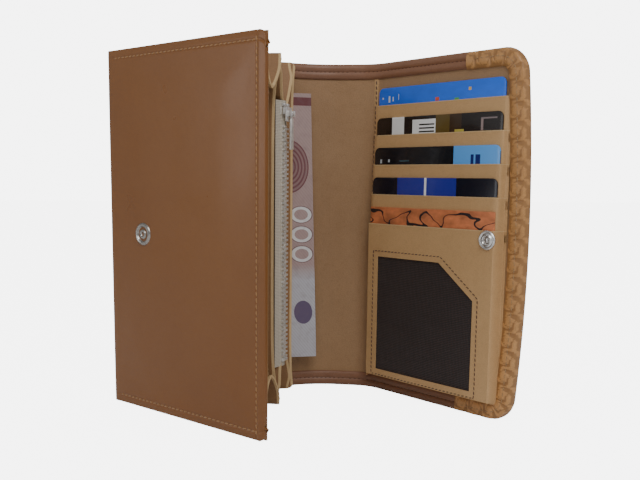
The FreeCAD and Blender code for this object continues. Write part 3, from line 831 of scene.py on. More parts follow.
class Finish(Enum):
    """Every finish on the wallet."""

    CHESTNUT = Leather("chestnut_leather", (0.246, 0.092, 0.017), (0.222, 0.081, 0.015), 1300.0, 0.10, 0.34, 0.22)
    PAINTED_EDGE = Leather("painted_edge", (0.075, 0.032, 0.016), (0.045, 0.02, 0.011), 500.0, 0.3, 0.42, 0.1)
    TAN = Leather("tan_lining", (0.400, 0.235, 0.115), (0.330, 0.185, 0.085), 800.0, 0.4, 0.60, 0.0, 0.15)
    BINDING = Leather("binding_leather", (0.290, 0.135, 0.070), (0.215, 0.095, 0.048), 900.0, 0.3, 0.42, 0.1)
    POCKET = Leather("pocket_leather", (0.640, 0.395, 0.185), (0.560, 0.335, 0.150), 900.0, 0.3, 0.52)
    TOOLED = Leather("tooled_leather", (0.640, 0.330, 0.120), (0.490, 0.235, 0.076), 700.0, 0.5, 0.38, 0.2, 0.0, True)
    GUSSET = Leather("gusset_leather", (0.360, 0.195, 0.085), (0.270, 0.135, 0.055), 800.0, 0.4, 0.55)
    # Gusset leather with painted shade: darkest inside the coin pocket, lifting to its own colour near the mouth.
    WALL = Leather(
        "wall_leather_painted_shade", (0.360, 0.195, 0.085), (0.270, 0.135, 0.055), 800.0, 0.4, 0.55, 0.0, 0.0, False, (70.0, 87.5)
    )
    RAW_EDGE = Leather("raw_edge", (0.760, 0.540, 0.280), (0.640, 0.430, 0.210), 1500.0, 0.6, 0.75)
    THREAD = Thread("brown_thread", (0.470, 0.240, 0.090))
    DARK_THREAD = Thread("dark_thread", (0.085, 0.035, 0.016))
    PALE_THREAD = Thread("pale_thread", (0.500, 0.300, 0.130))
    NICKEL = Metal("bright_nickel", (0.86, 0.85, 0.83), 0.24)
    ZIP_METAL = Metal("zip_nickel", (0.90, 0.89, 0.86), 0.36, 0.55)
    ANTIQUE = Metal("antique_nickel", (0.46, 0.44, 0.41), 0.26)
    TAPE = Weave("zip_tape", (0.740, 0.670, 0.550), (0.420, 0.360, 0.280), 0.8)
    MESH = Weave("window_mesh", (0.046, 0.023, 0.019), (0.004, 0.002, 0.002), 0.95, 0.55)
    NOTE = NotePaper()
    CARD_1 = Print(
        "card_blue",
        (0.012, 0.165, 0.900),
        (
            Stripe(0.030, 0.042, (0.75, 0.80, 0.85), 0.885, 0.905),
            Stripe(0.085, 0.100, (0.80, 0.84, 0.90), 0.850, 0.915),
            Stripe(0.120, 0.130, (0.80, 0.84, 0.90), 0.860, 0.905),
            Stripe(0.170, 0.176, (0.60, 0.68, 0.80), 0.870, 0.930),
            Stripe(0.480, 0.510, (0.70, 0.10, 0.04), 0.830, 0.865),
            Stripe(0.630, 0.665, (0.10, 0.42, 0.10), 0.825, 0.845),
            Stripe(0.735, 0.755, (0.75, 0.48, 0.10), 0.905, 0.935),
        ),
    )
    CARD_2 = Print(
        "card_black",
        (0.014, 0.009, 0.008),
        (
            Stripe(0.135, 0.240, (0.92, 0.92, 0.90)),
            Stripe(0.310, 0.500, (0.92, 0.92, 0.90), 0.500, 0.965),
            Stripe(0.365, 0.490, (0.02, 0.02, 0.02), 0.905, 0.920),
            Stripe(0.365, 0.490, (0.02, 0.02, 0.02), 0.870, 0.885),
            Stripe(0.365, 0.490, (0.02, 0.02, 0.02), 0.835, 0.850),
            Stripe(0.500, 0.610, (0.120, 0.075, 0.014)),
            Stripe(0.610, 0.700, (0.045, 0.022, 0.008)),
            Stripe(0.650, 0.720, (0.520, 0.420, 0.080), 0.820, 0.850),
            Stripe(0.845, 0.862, (0.300, 0.210, 0.200), 0.830, 0.950),
            Stripe(0.845, 0.960, (0.220, 0.170, 0.170), 0.935, 0.950),
        ),
    )
    CARD_3 = Print(
        "card_graphite",
        (0.007, 0.009, 0.014),
        (
            Stripe(0.660, 1.000, (0.120, 0.400, 0.900)),
            Stripe(0.790, 0.812, (0.010, 0.020, 0.160), 0.820, 0.915),
            Stripe(0.825, 0.860, (0.010, 0.020, 0.160), 0.820, 0.915),
            Stripe(0.050, 0.066, (0.55, 0.60, 0.62), 0.840, 0.880),
            Stripe(0.120, 0.136, (0.55, 0.60, 0.62), 0.850, 0.880),
            Stripe(0.220, 0.300, (0.05, 0.10, 0.12), 0.855, 0.870),
        ),
    )
    CARD_4 = Print(
        "card_navy",
        (0.006, 0.008, 0.018),
        (
            Stripe(0.220, 0.447, (0.022, 0.032, 0.330)),
            Stripe(0.447, 0.465, (0.90, 0.92, 0.95)),
            Stripe(0.465, 0.700, (0.022, 0.032, 0.330)),
        ),
    )
    CARD_5 = Print("card_orange", (0.780, 0.245, 0.095), (), (0.02, 0.012, 0.012), 0.45, 0.55)


MADE: dict[Finish, bpy.types.Material] = {}


def dress(piece: bpy.types.Object, *finishes: Finish) -> None:
    """Give a piece its finishes in slot order, keeping the slot of each face."""
    while len(piece.data.materials) < len(finishes):
        piece.data.materials.append(None)
    for index, finish in enumerate(finishes):
        if finish not in MADE:
            MADE[finish] = finish.value.make()
        piece.data.materials[index] = MADE[finish]


@dataclass(frozen=True)
class Bend:
    """The two bodies that a piece bends between, and where the bend starts and ends."""

    first: str
    second: str
    start: Vector
    end: Vector


def spine_bend() -> Bend:
    """Return the bend between the back panel and the spine."""
    low = WRAP.point(np.array([WRAP.starts[3]]), np.array([0.0]), 0.0)[0]
    high = WRAP.point(np.array([WRAP.starts[4]]), np.array([0.0]), 0.0)[0]
    return Bend("back", "spine", Vector(low), Vector(high))


def flap_bend() -> Bend:
    """Return the bend between the spine and the flap."""
    low = WRAP.point(np.array([WRAP.starts[5]]), np.array([0.0]), 0.0)[0]
    high = WRAP.point(np.array([WRAP.starts[6]]), np.array([0.0]), 0.0)[0]
    return Bend("spine", "flap", Vector(low), Vector(high))


def edge_bend() -> Bend:
    """Return the bend round the edge fold, from the back panel to the front panel."""
    reach = SIZES.fold_gap + SIZES.lining + SIZES.skin
    middle = math.radians(SIZES.front_angle / 2)
    side = Vector((math.sin(middle), -math.cos(middle), 0.0))
    centre = Vector((EDGE.x, EDGE.y, 0.0))
    return Bend("back", "front", (centre - side * reach) * MM, (centre + side * reach) * MM)


def hang(piece: bpy.types.Object, motion: str | Bend, stands_for: Sequence[str] = (), slot: str = "") -> None:
    """Tie a finished piece to its body, or fix one that spans a bend where it stands, and hide the parts it stands for.

    Args:
        piece: The finished piece.
        motion: The body it rides on, or the bend it spans, for which it is only fixed in place.
        stands_for: The CAD nodes that it replaces.
        slot: Not used.
    """
    if isinstance(motion, Bend):
        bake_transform(piece)
    else:
        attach(piece, motion)
    if stands_for:
        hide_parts(*stands_for)
    LOG.info("%s: %d faces", piece.name, len(piece.data.polygons))


# ------------------------------------------------------------------ stitching


@dataclass(frozen=True)
class Seam:
    """A row of stitches along a track on a surface."""

    pitch: float = 3.1
    length: float = 2.5
    radius: float = 0.36
    slant: float = 9.0
    sink: float = 0.1

    def sew_line(self, name: str, places: Array, normal: Array, finish: Finish) -> bpy.types.Object:
        """Sew along points in metres that all share one outward direction.

        Args:
            name: The piece's name.
            places: One row of metres for each point of the line.
            normal: The leather's outward direction.
            finish: The thread.

        Returns:
            The stitches as one piece.
        """
        steps = np.linalg.norm(np.diff(places, axis=0), axis=1) / MM
        marks = np.concatenate([[0.0], np.cumsum(steps)])
        count = max(2, int(marks[-1] / self.pitch))
        middle = (np.arange(count) + 0.5) * marks[-1] / count
        ends = [
            np.stack([np.interp(middle + move, marks, places[:, k]) for k in range(3)], axis=-1)
            for move in (-self.length / 2, self.length / 2)
        ]
        return self.lay_stitches(name, ends, np.repeat(normal[None], count, axis=0), finish)

    def lay_stitches(self, name: str, ends: Sequence[Array], normal: Array, finish: Finish) -> bpy.types.Object:
        """Lay one stitch between each pair of ends, and give them all their thread.

        Args:
            name: The piece's name.
            ends: The stitches' first ends and their last ends.
            normal: The way that the leather faces at each stitch.
            finish: The thread.

        Returns:
            The stitches as one piece.
        """
        place = (ends[0] + ends[1]) / 2
        along = ends[1] - ends[0]
        along /= np.linalg.norm(along, axis=1, keepdims=True)
        normal = normal - along * np.sum(along * normal, axis=1, keepdims=True)
        normal /= np.linalg.norm(normal, axis=1, keepdims=True)
        side = np.cross(normal, along)
        tilt = math.radians(self.slant)
        along, side = along * math.cos(tilt) + side * math.sin(tilt), side * math.cos(tilt) - along * math.sin(tilt)
        turns = np.stack([along, side, normal], axis=-1)
        Bench.clear()
        bpy.ops.mesh.primitive_uv_sphere_add(segments=8, ring_count=6, radius=1.0)
        template = bpy.context.object
        bpy.ops.object.mode_set(mode="EDIT")
        bpy.ops.mesh.select_all(action="SELECT")
        bpy.ops.transform.rotate(
            value=math.pi / 2, orient_axis="Y", orient_type="GLOBAL", center_override=(0, 0, 0)
        )
        size = (self.length / 2 * MM, self.radius * MM, self.radius * MM)
        bpy.ops.transform.resize(value=size, center_override=(0, 0, 0))
        bpy.ops.object.mode_set(mode="OBJECT")
        piece = Bench.stamp(name, template, place + normal * (self.radius * 0.35 - self.sink) * MM, turns)
        dress(piece, finish)
        return piece

    def sew(
        self,
        name: str,
        surface: Panel | Wrap,
        track: Sequence[tuple[float, float]],
        lift: float | Callable[[Array, Array], Array],
        finish: Finish,
        closed: bool = False,
    ) -> bpy.types.Object:
        """Sew along a track.

        Args:
            name: The piece's name.
            surface: The surface that the track lies on.
            track: Corners across and up the surface, in millimetres.
            lift: The depth of the leather's face along the track.
            finish: The thread.
            closed: Whether the track returns to its start.

        Returns:
            The stitches as one piece.
        """
        corners = np.array([*track, track[0]] if closed else track, float)
        steps = np.linalg.norm(np.diff(corners, axis=0), axis=1)
        marks = np.concatenate([[0.0], np.cumsum(steps)])
        count = max(2, int(marks[-1] / self.pitch))
        middle = (np.arange(count) + 0.5) * marks[-1] / count
        ends = [middle - self.length / 2, middle + self.length / 2]
        flat = [np.stack([np.interp(end, marks, corners[:, k]) for k in (0, 1)], axis=-1) for end in ends]
        centre = (flat[0] + flat[1]) / 2
        height = lift(centre[:, 0], centre[:, 1]) if callable(lift) else lift
        outward = surface.point(centre[:, 0], centre[:, 1], height + np.sign(np.mean(height) or 1.0))
        place = surface.point(centre[:, 0], centre[:, 1], height)
        normal = outward - place
        normal /= np.linalg.norm(normal, axis=1, keepdims=True)
        both = [surface.point(end[:, 0], end[:, 1], height) for end in flat]
        return self.lay_stitches(name, both, normal, finish)


# ------------------------------------------------------------------ outer leather and lining


@dataclass
class OuterLeather:
    """The skin: front panel round the edge fold to the back, spine and flap."""

    seam_inset: float = 4.3
    side_inset: float = 5.0
    groove: float = 0.28
    groove_half: float = 0.9
    puff: float = 1.1
    row_step: float = 3.0
    seam: Seam = field(default_factory=lambda: Seam(3.0, 2.3, 0.40))

    @property
    def face(self) -> float:
        """Return the outer face's distance from the inner face."""
        return SIZES.lining + SIZES.skin

    def front_depth(self, station: Array, up: Array) -> Array:
        """Return the front panel's outer face: softly padded, and pressed down along its seams."""
        edge = np.minimum.reduce([station, up, SIZES.height - up])
        padded = self.puff * rise(edge, self.seam_inset, 30.0) * rise(SIZES.front_wide - station, -6.0, 26.0)
        top_seam = np.minimum(np.abs(up - self.seam_inset), np.abs(SIZES.height - up - self.seam_inset))
        side_seam = np.abs(station - self.side_inset)
        away = np.minimum(np.where(station < SIZES.front_wide, top_seam, 9.0), side_seam)
        on_front = rise(SIZES.front_wide - station, -2.0, 2.0)
        pressed = self.groove * (1 - rise(away, 0.0, self.groove_half)) * on_front
        thinned = 0.5 * (1 - rise(edge, 0.0, 3.0)) * on_front
        return self.face + padded - pressed - thinned

    def rows(self) -> Array:
        """Return grid lines up the wallet, closer together along the seams."""
        near = [self.seam_inset + offset for offset in (-1.6, -0.9, -0.45, 0.0, 0.45, 0.9, 1.6)]
        extra = [0.8, *near, *(SIZES.height - value for value in near), SIZES.height - 0.8]
        return lines(0.0, SIZES.height, self.row_step, extra)

    def make(self) -> None:
        """Make the three pieces of skin, which meet where they lie flat, and the front's stitches."""
        near = [self.side_inset + offset for offset in (-1.6, -0.9, -0.45, 0.0, 0.45, 0.9, 1.6)]
        fold = [WRAP.starts[1] + WRAP.stretches[1].length * share for share in np.linspace(0, 1, 15)]
        middle_back, middle_spine = WRAP.back(57.0), WRAP.spine(18.5)
        parts = (
            ("outer_leather_front", 0.0, middle_back, [0.6, *near, *fold], edge_bend(), self.front_depth,
             ("front_leather", "back_leather", "edge_fold_leather")),
            ("outer_leather_spine", middle_back, middle_spine, (), spine_bend(), None,
             ("spine_bend_leather", "spine_leather")),
            ("outer_leather_flap", middle_spine, WRAP.flap(SIZES.flap_wide), (), flap_bend(), None,
             ("flap_bend_leather", "flap_leather")),
        )
        for name, start, end, extra, bend, depth, nodes in parts:
            columns = lines(start, end, 3.0, extra)
            if name.endswith("flap"):
                corner = [end - SIZES.flap_corner * (1 - math.sin(t)) for t in np.linspace(0, math.pi / 2, 9)]
                columns = lines(start, end, 3.0, corner)
            piece = Bench.grid(name, columns, self.rows(), lambda s, z: self.skin_point(s, z, depth))
            Bench.thicken(piece, SIZES.skin, rim=1)
            self.square_seams(piece, (middle_back, middle_spine))
            dress(piece, Finish.CHESTNUT, Finish.PAINTED_EDGE)
            hang(piece, bend, nodes, "chestnut_leather")
        self.sew_front()

    def skin_point(self, station: Array, up: Array, depth: Callable[[Array, Array], Array] | None) -> Array:
        """Return points on the outer face of the skin."""
        height = depth(station, up) if depth else np.full_like(station, self.face)
        from_front = corner_lift(station, 3.0)
        up = from_front + (SIZES.height - 2 * from_front) * up / SIZES.height
        start = WRAP.flap(0.0)
        across, up = flap_outline(station - start, up)
        return WRAP.point(across + start, up, height)

    def square_seams(self, piece: bpy.types.Object, stations: Sequence[float]) -> None:
        """Round the piece's edges but those where it meets its neighbour."""
        spots = [
            (Vector(WRAP.point(np.array([s]), np.array([0.0]), 0.0)[0]),
             Vector(WRAP.point(np.array([s + 1.0]), np.array([0.0]), 0.0)[0]))
            for s in stations
        ]

        def spared(point: Vector) -> bool:
            """Say whether a point lies on a meeting face."""
            return any(abs((point - here) .dot((there - here).normalized())) < 0.00005 for here, there in spots)

        Bench.soften(piece, 0.55, 3, spared)

    def sew_front(self) -> None:
        """Sew the front panel's top, free side and bottom."""
        side, inset, top = self.side_inset, self.seam_inset, SIZES.height - self.seam_inset
        start = SIZES.front_wide - 3.0
        tracks = {
            "front_stitches_top": [(start, top), (side + 0.4, top)],
            "front_stitches_side": [(side, top + 2.0), (side, inset - 2.0)],
            "front_stitches_bottom": [(start, inset), (side + 0.4, inset)],
        }
        for name, track in tracks.items():
            piece = self.seam.sew(name, WRAP, track, self.front_depth, Finish.THREAD)
            hang(piece, "front", (), "chestnut_leather")


@dataclass
class Lining:
    """The tan lining of every panel and the turned edges along its top and bottom."""

    strip: float = 8.2
    strip_thick: float = 0.7
    strip_puff: float = 0.5
    seam: Seam = field(default_factory=lambda: Seam(2.6, 2.0, 0.28, 12.0))

    def wrinkle(self, station: Array, up: Array) -> Array:
        """Return the lining's depth: slack that bulges a little between its seams."""
        slack = np.sin(station * 0.21) * 0.12 + np.sin(station * 0.083 + up * 0.02) * 0.18
        held = rise(up, 6.0, 30.0) * rise(SIZES.height - up, 6.0, 30.0)
        return -0.05 - np.abs(slack) * held

    def make(self) -> None:
        """Make the linings, which meet where they lie flat, then the turned edges."""
        middle_spine, middle_back = WRAP.spine(18.5), WRAP.back(60.0)
        parts = (
            ("front_lining_leather", 0.6, WRAP.front(1.0), "front", ("front_lining",)),
            ("back_lining_leather", WRAP.back(1.0), middle_back, "back", ("back_lining",)),
            ("spine_lining_leather", middle_back, middle_spine, spine_bend(), ("spine_lining",)),
            ("flap_lining_leather", middle_spine, WRAP.flap(SIZES.flap_wide - 0.4), flap_bend(), ("flap_lining",)),
        )
        rows = lines(0.0, SIZES.height, 4.0)
        for name, start, end, motion, nodes in parts:
            piece = Bench.grid(name, lines(start, end, 2.5), rows, self.lining_point)
            piece.data.flip_normals()
            Bench.apply(piece, "SOLIDIFY", thickness=(SIZES.lining - 0.05) * MM, offset=-1.0)
            Bench.activate(piece)
            bpy.ops.object.shade_smooth_by_angle(angle=math.radians(40.0))
            dress(piece, Finish.TAN)
            hang(piece, motion, nodes, "tan_lining")
        self.turned_edges()

    def lining_point(self, station: Array, up: Array) -> Array:
        """Return points on the lining's inner face."""
        start = WRAP.flap(0.0)
        depth = self.wrinkle(station, up)
        across, up = flap_outline(station - start, 0.4 + up * (1 - 0.8 / SIZES.height))
        return WRAP.point(across + start, up, depth)

    def edge_profile(self) -> list[tuple[float, float]]:
        """Return the turned edge's section: height from the panel's edge, depth from its inner face."""
        swell = self.strip_thick + self.strip_puff
        return [
            (self.strip, 0.05), (self.strip - 0.1, -self.strip_thick * 0.8), (self.strip - 0.9, -swell * 0.9),
            (self.strip * 0.62, -swell), (self.strip * 0.5, -self.strip_thick * 0.85), (self.strip * 0.38, -swell),
            (1.4, -swell * 0.95), (0.5, -self.strip_thick * 0.9), (-0.05, -0.25), (-0.22, 0.35), (-0.12, 1.0),
        ]

    def turned_edges(self) -> None:
        """Make the strips along the back, spine and flap, top and bottom, and sew each."""
        middle = WRAP.spine(18.5)
        profile = np.array(self.edge_profile())
        spans = (
            ("spine", WRAP.back(2.0), middle, spine_bend()),
            ("flap", middle, WRAP.flap(67.0), flap_bend()),
        )
        for part, start, end, bend in spans:
            for place, top in (("top", True), ("bottom", False)):
                base, sign = (SIZES.height, -1.0) if top else (0.0, 1.0)

                def strip_point(station: Array, index: Array) -> Array:
                    """Return points on the strip's section along the wrap."""
                    chosen = profile[np.rint(index).astype(int)]
                    up = np.clip(base + sign * chosen[:, 0], 0.0, SIZES.height + 0.25)
                    return WRAP.point(station, up, chosen[:, 1])

                columns = lines(start, end, 2.0)
                piece = Bench.grid(f"turned_edge_{part}_{place}", columns, np.arange(len(profile)), strip_point)
                if not top:
                    piece.data.flip_normals()
                Bench.apply(piece, "SOLIDIFY", thickness=0.2 * MM, offset=-1.0)
                Bench.activate(piece)
                bpy.ops.object.shade_smooth_by_angle(angle=math.radians(60.0))
                dress(piece, Finish.BINDING)
                nodes = [f"{part}_binding_{place}"] + ([f"back_binding_{place}"] if part == "spine" else [])
                hang(piece, bend, nodes, "binding_leather")
                up = base + sign * self.strip * 0.5
                track = [(start + 1.0, up), (end - 1.0, up)]
                thread = self.seam.sew(
                    f"turned_edge_stitches_{part}_{place}", WRAP, track, -self.strip_thick, Finish.DARK_THREAD
                )
                hang(thread, bend, (), "binding_leather")


# ------------------------------------------------------------------ tooled end of the flap


@dataclass
class TooledEnd:
    """Tooled leather over the flap's free end: the outer overlay and the rolled border inside."""

    start: float = 66.0
    thick: float = 1.2
    relief: float = 0.42
    border: float = 8.8
    roll: float = 1.35
    seam: Seam = field(default_factory=lambda: Seam(3.2, 2.4, 0.26, 6.0))

    @staticmethod
    def scrolls(along: Array, across: Array, cell: float) -> Array:
        """Return a tooled pattern from 0 in the cut ground to 1 on a raised scroll.

        Args:
            along: Distances one way, in millimetres.
            across: Distances the other way.
            cell: The repeat, in millimetres.

        Returns:
            The height at each point.
        """
        row = np.floor(across / cell)
        shifted = along + np.where(row % 2 == 0, 0.0, cell / 2)
        x = (shifted / cell - np.floor(shifted / cell) - 0.5) * 2
        y = (across / cell - row - 0.5) * 2
        radius, angle = np.hypot(x, y), np.arctan2(y, x)
        petal = 0.42 + 0.16 * np.abs(np.cos(2.5 * angle))
        flower = 1 - rise(radius, petal, petal + 0.08)
        veins = 0.35 * (1 - rise(np.abs(np.sin(2.5 * angle)), 0.0, 0.25)) * rise(radius, 0.16, 0.24)
        heart = 1 - rise(np.abs(radius - 0.13), 0.02, 0.06)
        vine = np.cos(3.0 * angle + 6.5 * radius)
        leaves = rise(vine, 0.0, 0.45) * rise(radius, petal + 0.1, petal + 0.2)
        tips = 0.35 * (1 - rise(np.abs(vine - 0.75), 0.02, 0.12)) * leaves
        return np.clip(np.maximum(flower - veins, leaves - tips) - 0.4 * heart * flower, 0.0, 1.0)

    def mark_relief(self, piece: bpy.types.Object, values: Array) -> None:
        """Store the pattern's height on the vertices, for the finish."""
        layer = piece.data.attributes.new("relief", "FLOAT", "POINT")
        layer.data.foreach_set("value", values.astype(np.float32))

    def overlay_height(self, across: Array, up: Array) -> Array:
        """Return the pattern on the overlay, fading out beside its edges."""
        plain = rise(across - self.start, 0.8, 2.6) * rise(SIZES.flap_wide - across, 0.0, 1.6)
        return self.scrolls(up, across - self.start, 13.5) * plain

    def make(self) -> None:
        """Make the overlay, the border and their stitches."""
        base = SIZES.lining + SIZES.skin
        start = WRAP.flap(0.0)

        def overlay_point(across: Array, up: Array) -> Array:
            """Return points on the overlay's outer face."""
            height = self.overlay_height(across, up)
            fold = 0.9 * (1 - rise(across - self.start, 0.0, 1.2))
            x, z = flap_outline(across, up)
            return WRAP.point(x + start, z, base + self.thick + self.relief * (height - 1) - fold)

        corner = [SIZES.flap_wide - SIZES.flap_corner * (1 - math.sin(t)) for t in np.linspace(0, math.pi / 2, 12)]
        columns, rows = lines(self.start, SIZES.flap_wide, 0.5, corner), lines(0.0, SIZES.height, 0.55)
        piece = Bench.grid("tooled_overlay_leather", columns, rows, overlay_point)
        uv = self.sheet_values(piece, self.overlay_height)
        self.mark_relief(piece, uv)
        Bench.thicken(piece, 0.6)
        Bench.activate(piece)
        bpy.ops.object.shade_smooth_by_angle(angle=math.radians(60.0))
        dress(piece, Finish.TOOLED)
        hang(piece, "flap", ("tooled_overlay",), "tooled_leather")
        self.border_roll(base)

    @staticmethod
    def sheet_values(piece: bpy.types.Object, rule: Callable[[Array, Array], Array]) -> Array:
        """Return a rule's value at each vertex, read at the vertex's own UV place."""
        mesh = piece.data
        corner = np.zeros(len(mesh.loops), np.int32)
        mesh.loops.foreach_get("vertex_index", corner)
        uv = np.zeros(len(mesh.loops) * 2, np.float32)
        mesh.uv_layers[0].data.foreach_get("uv", uv)
        places = np.zeros((len(mesh.vertices), 2))
        places[corner] = uv.reshape(-1, 2) / UV_PER_MM
        return rule(places[:, 0], places[:, 1])

    def edge_track(self) -> tuple[Array, Array]:
        """Return points round the flap's free outline and their outward directions, evenly spaced."""
        sweep = np.linspace(0, math.pi / 2, 40)
        bent = SIZES.flap_wide - SIZES.flap_corner * (1 - np.sin(sweep))
        flat = np.linspace(self.start, bent[0], 20, endpoint=False)
        across = np.concatenate([flat, bent, np.full(120, SIZES.flap_wide), bent[::-1], flat[::-1]])
        lift = corner_lift(SIZES.flap_wide - across, SIZES.flap_corner)
        count = len(flat) + len(bent)
        middle = np.linspace(SIZES.flap_corner, SIZES.height - SIZES.flap_corner, 122)[1:-1]
        up = np.concatenate([lift[:count], middle, SIZES.height - lift[-count:]])
        share = np.clip((across - SIZES.bow_start) / (SIZES.flap_wide - SIZES.bow_start), 0.0, 1.0)
        across = across + SIZES.flap_bow * share * (1 - (2 * up / SIZES.height - 1) ** 2)
        steps = np.hypot(np.diff(across), np.diff(up))
        marks = np.concatenate([[0.0], np.cumsum(steps)])
        even = np.linspace(0.0, marks[-1], int(marks[-1] / 0.6) + 1)
        points = np.stack([np.interp(even, marks, across), np.interp(even, marks, up)], axis=-1)
        heading = np.gradient(points, axis=0)
        heading /= np.linalg.norm(heading, axis=1, keepdims=True)
        return points, np.stack([heading[:, 1], -heading[:, 0]], axis=-1)

    def border_profile(self, base: float) -> Array:
        """Return the border's section: distance in from the edge, and depth."""
        outer = base + self.thick
        points = [(self.border + 0.05, 0.3), (self.border, -0.55)]
        for turn in np.linspace(0.12, 1.0, 12):
            swing = turn * math.pi
            inward = self.border / 2 + (self.border / 2 + 0.1) * math.cos(swing)
            points.append((inward, -0.45 - self.roll * math.sin(swing) ** 0.7))
        points += [(-0.55, 0.6), (-0.75, 1.8), (-0.7, outer - 1.0), (-0.35, outer - 0.25), (0.4, outer + 0.02)]
        points += [(1.4, outer - 0.1)]
        return np.array(points)

    def border_roll(self, base: float) -> None:
        """Make the padded border that wraps the free edge, and sew it.

        Args:
            base: The depth at which the border starts.
        """
        points, outward = self.edge_track()
        profile = self.border_profile(base)

        def pattern(along: Array, index: Array) -> Array:
            """Return the pattern on the roll, plain along its seam."""
            inward = profile[np.clip(np.rint(index).astype(int), 0, len(profile) - 1), 0]
            return self.scrolls(along, inward + 0.4, 9.6) * rise(index, 1.0, 3.0)

        def border_point(along: Array, index: Array) -> Array:
            """Return points on the border's face."""
            step = np.rint(index).astype(int)
            track = np.clip(np.rint(along / 0.6).astype(int), 0, len(points) - 1)
            chosen = profile[step]
            place = points[track] - outward[track] * chosen[:, :1]
            height = pattern(along, index)
            inner = rise(-chosen[:, 1], -0.2, 0.6)
            depth = chosen[:, 1] - self.relief * 0.9 * (height - 0.6) * inner
            return FLAP.point(place[:, 0], np.clip(place[:, 1], 0.02, SIZES.height + 0.4), depth)

        piece = Bench.grid("tooled_border_leather", np.arange(len(points)) * 0.6, np.arange(len(profile)), border_point)
        self.mark_relief(piece, self.sheet_values(piece, pattern))
        Bench.apply(piece, "SOLIDIFY", thickness=0.25 * MM, offset=-1.0)
        Bench.activate(piece)
        bpy.ops.object.shade_smooth_by_angle(angle=math.radians(70.0))
        dress(piece, Finish.TOOLED)
        hang(piece, "flap", ("tooled_border",), "tooled_leather")
        inside = points - outward * self.border * 0.42
        track = [tuple(point) for point in inside[6:-6:4]]
        thread = self.seam.sew("tooled_border_stitches", FLAP, track, -0.5 - self.roll, Finish.PALE_THREAD)
        hang(thread, "flap", (), "tooled_leather")


# ------------------------------------------------------------------ card side of the flap


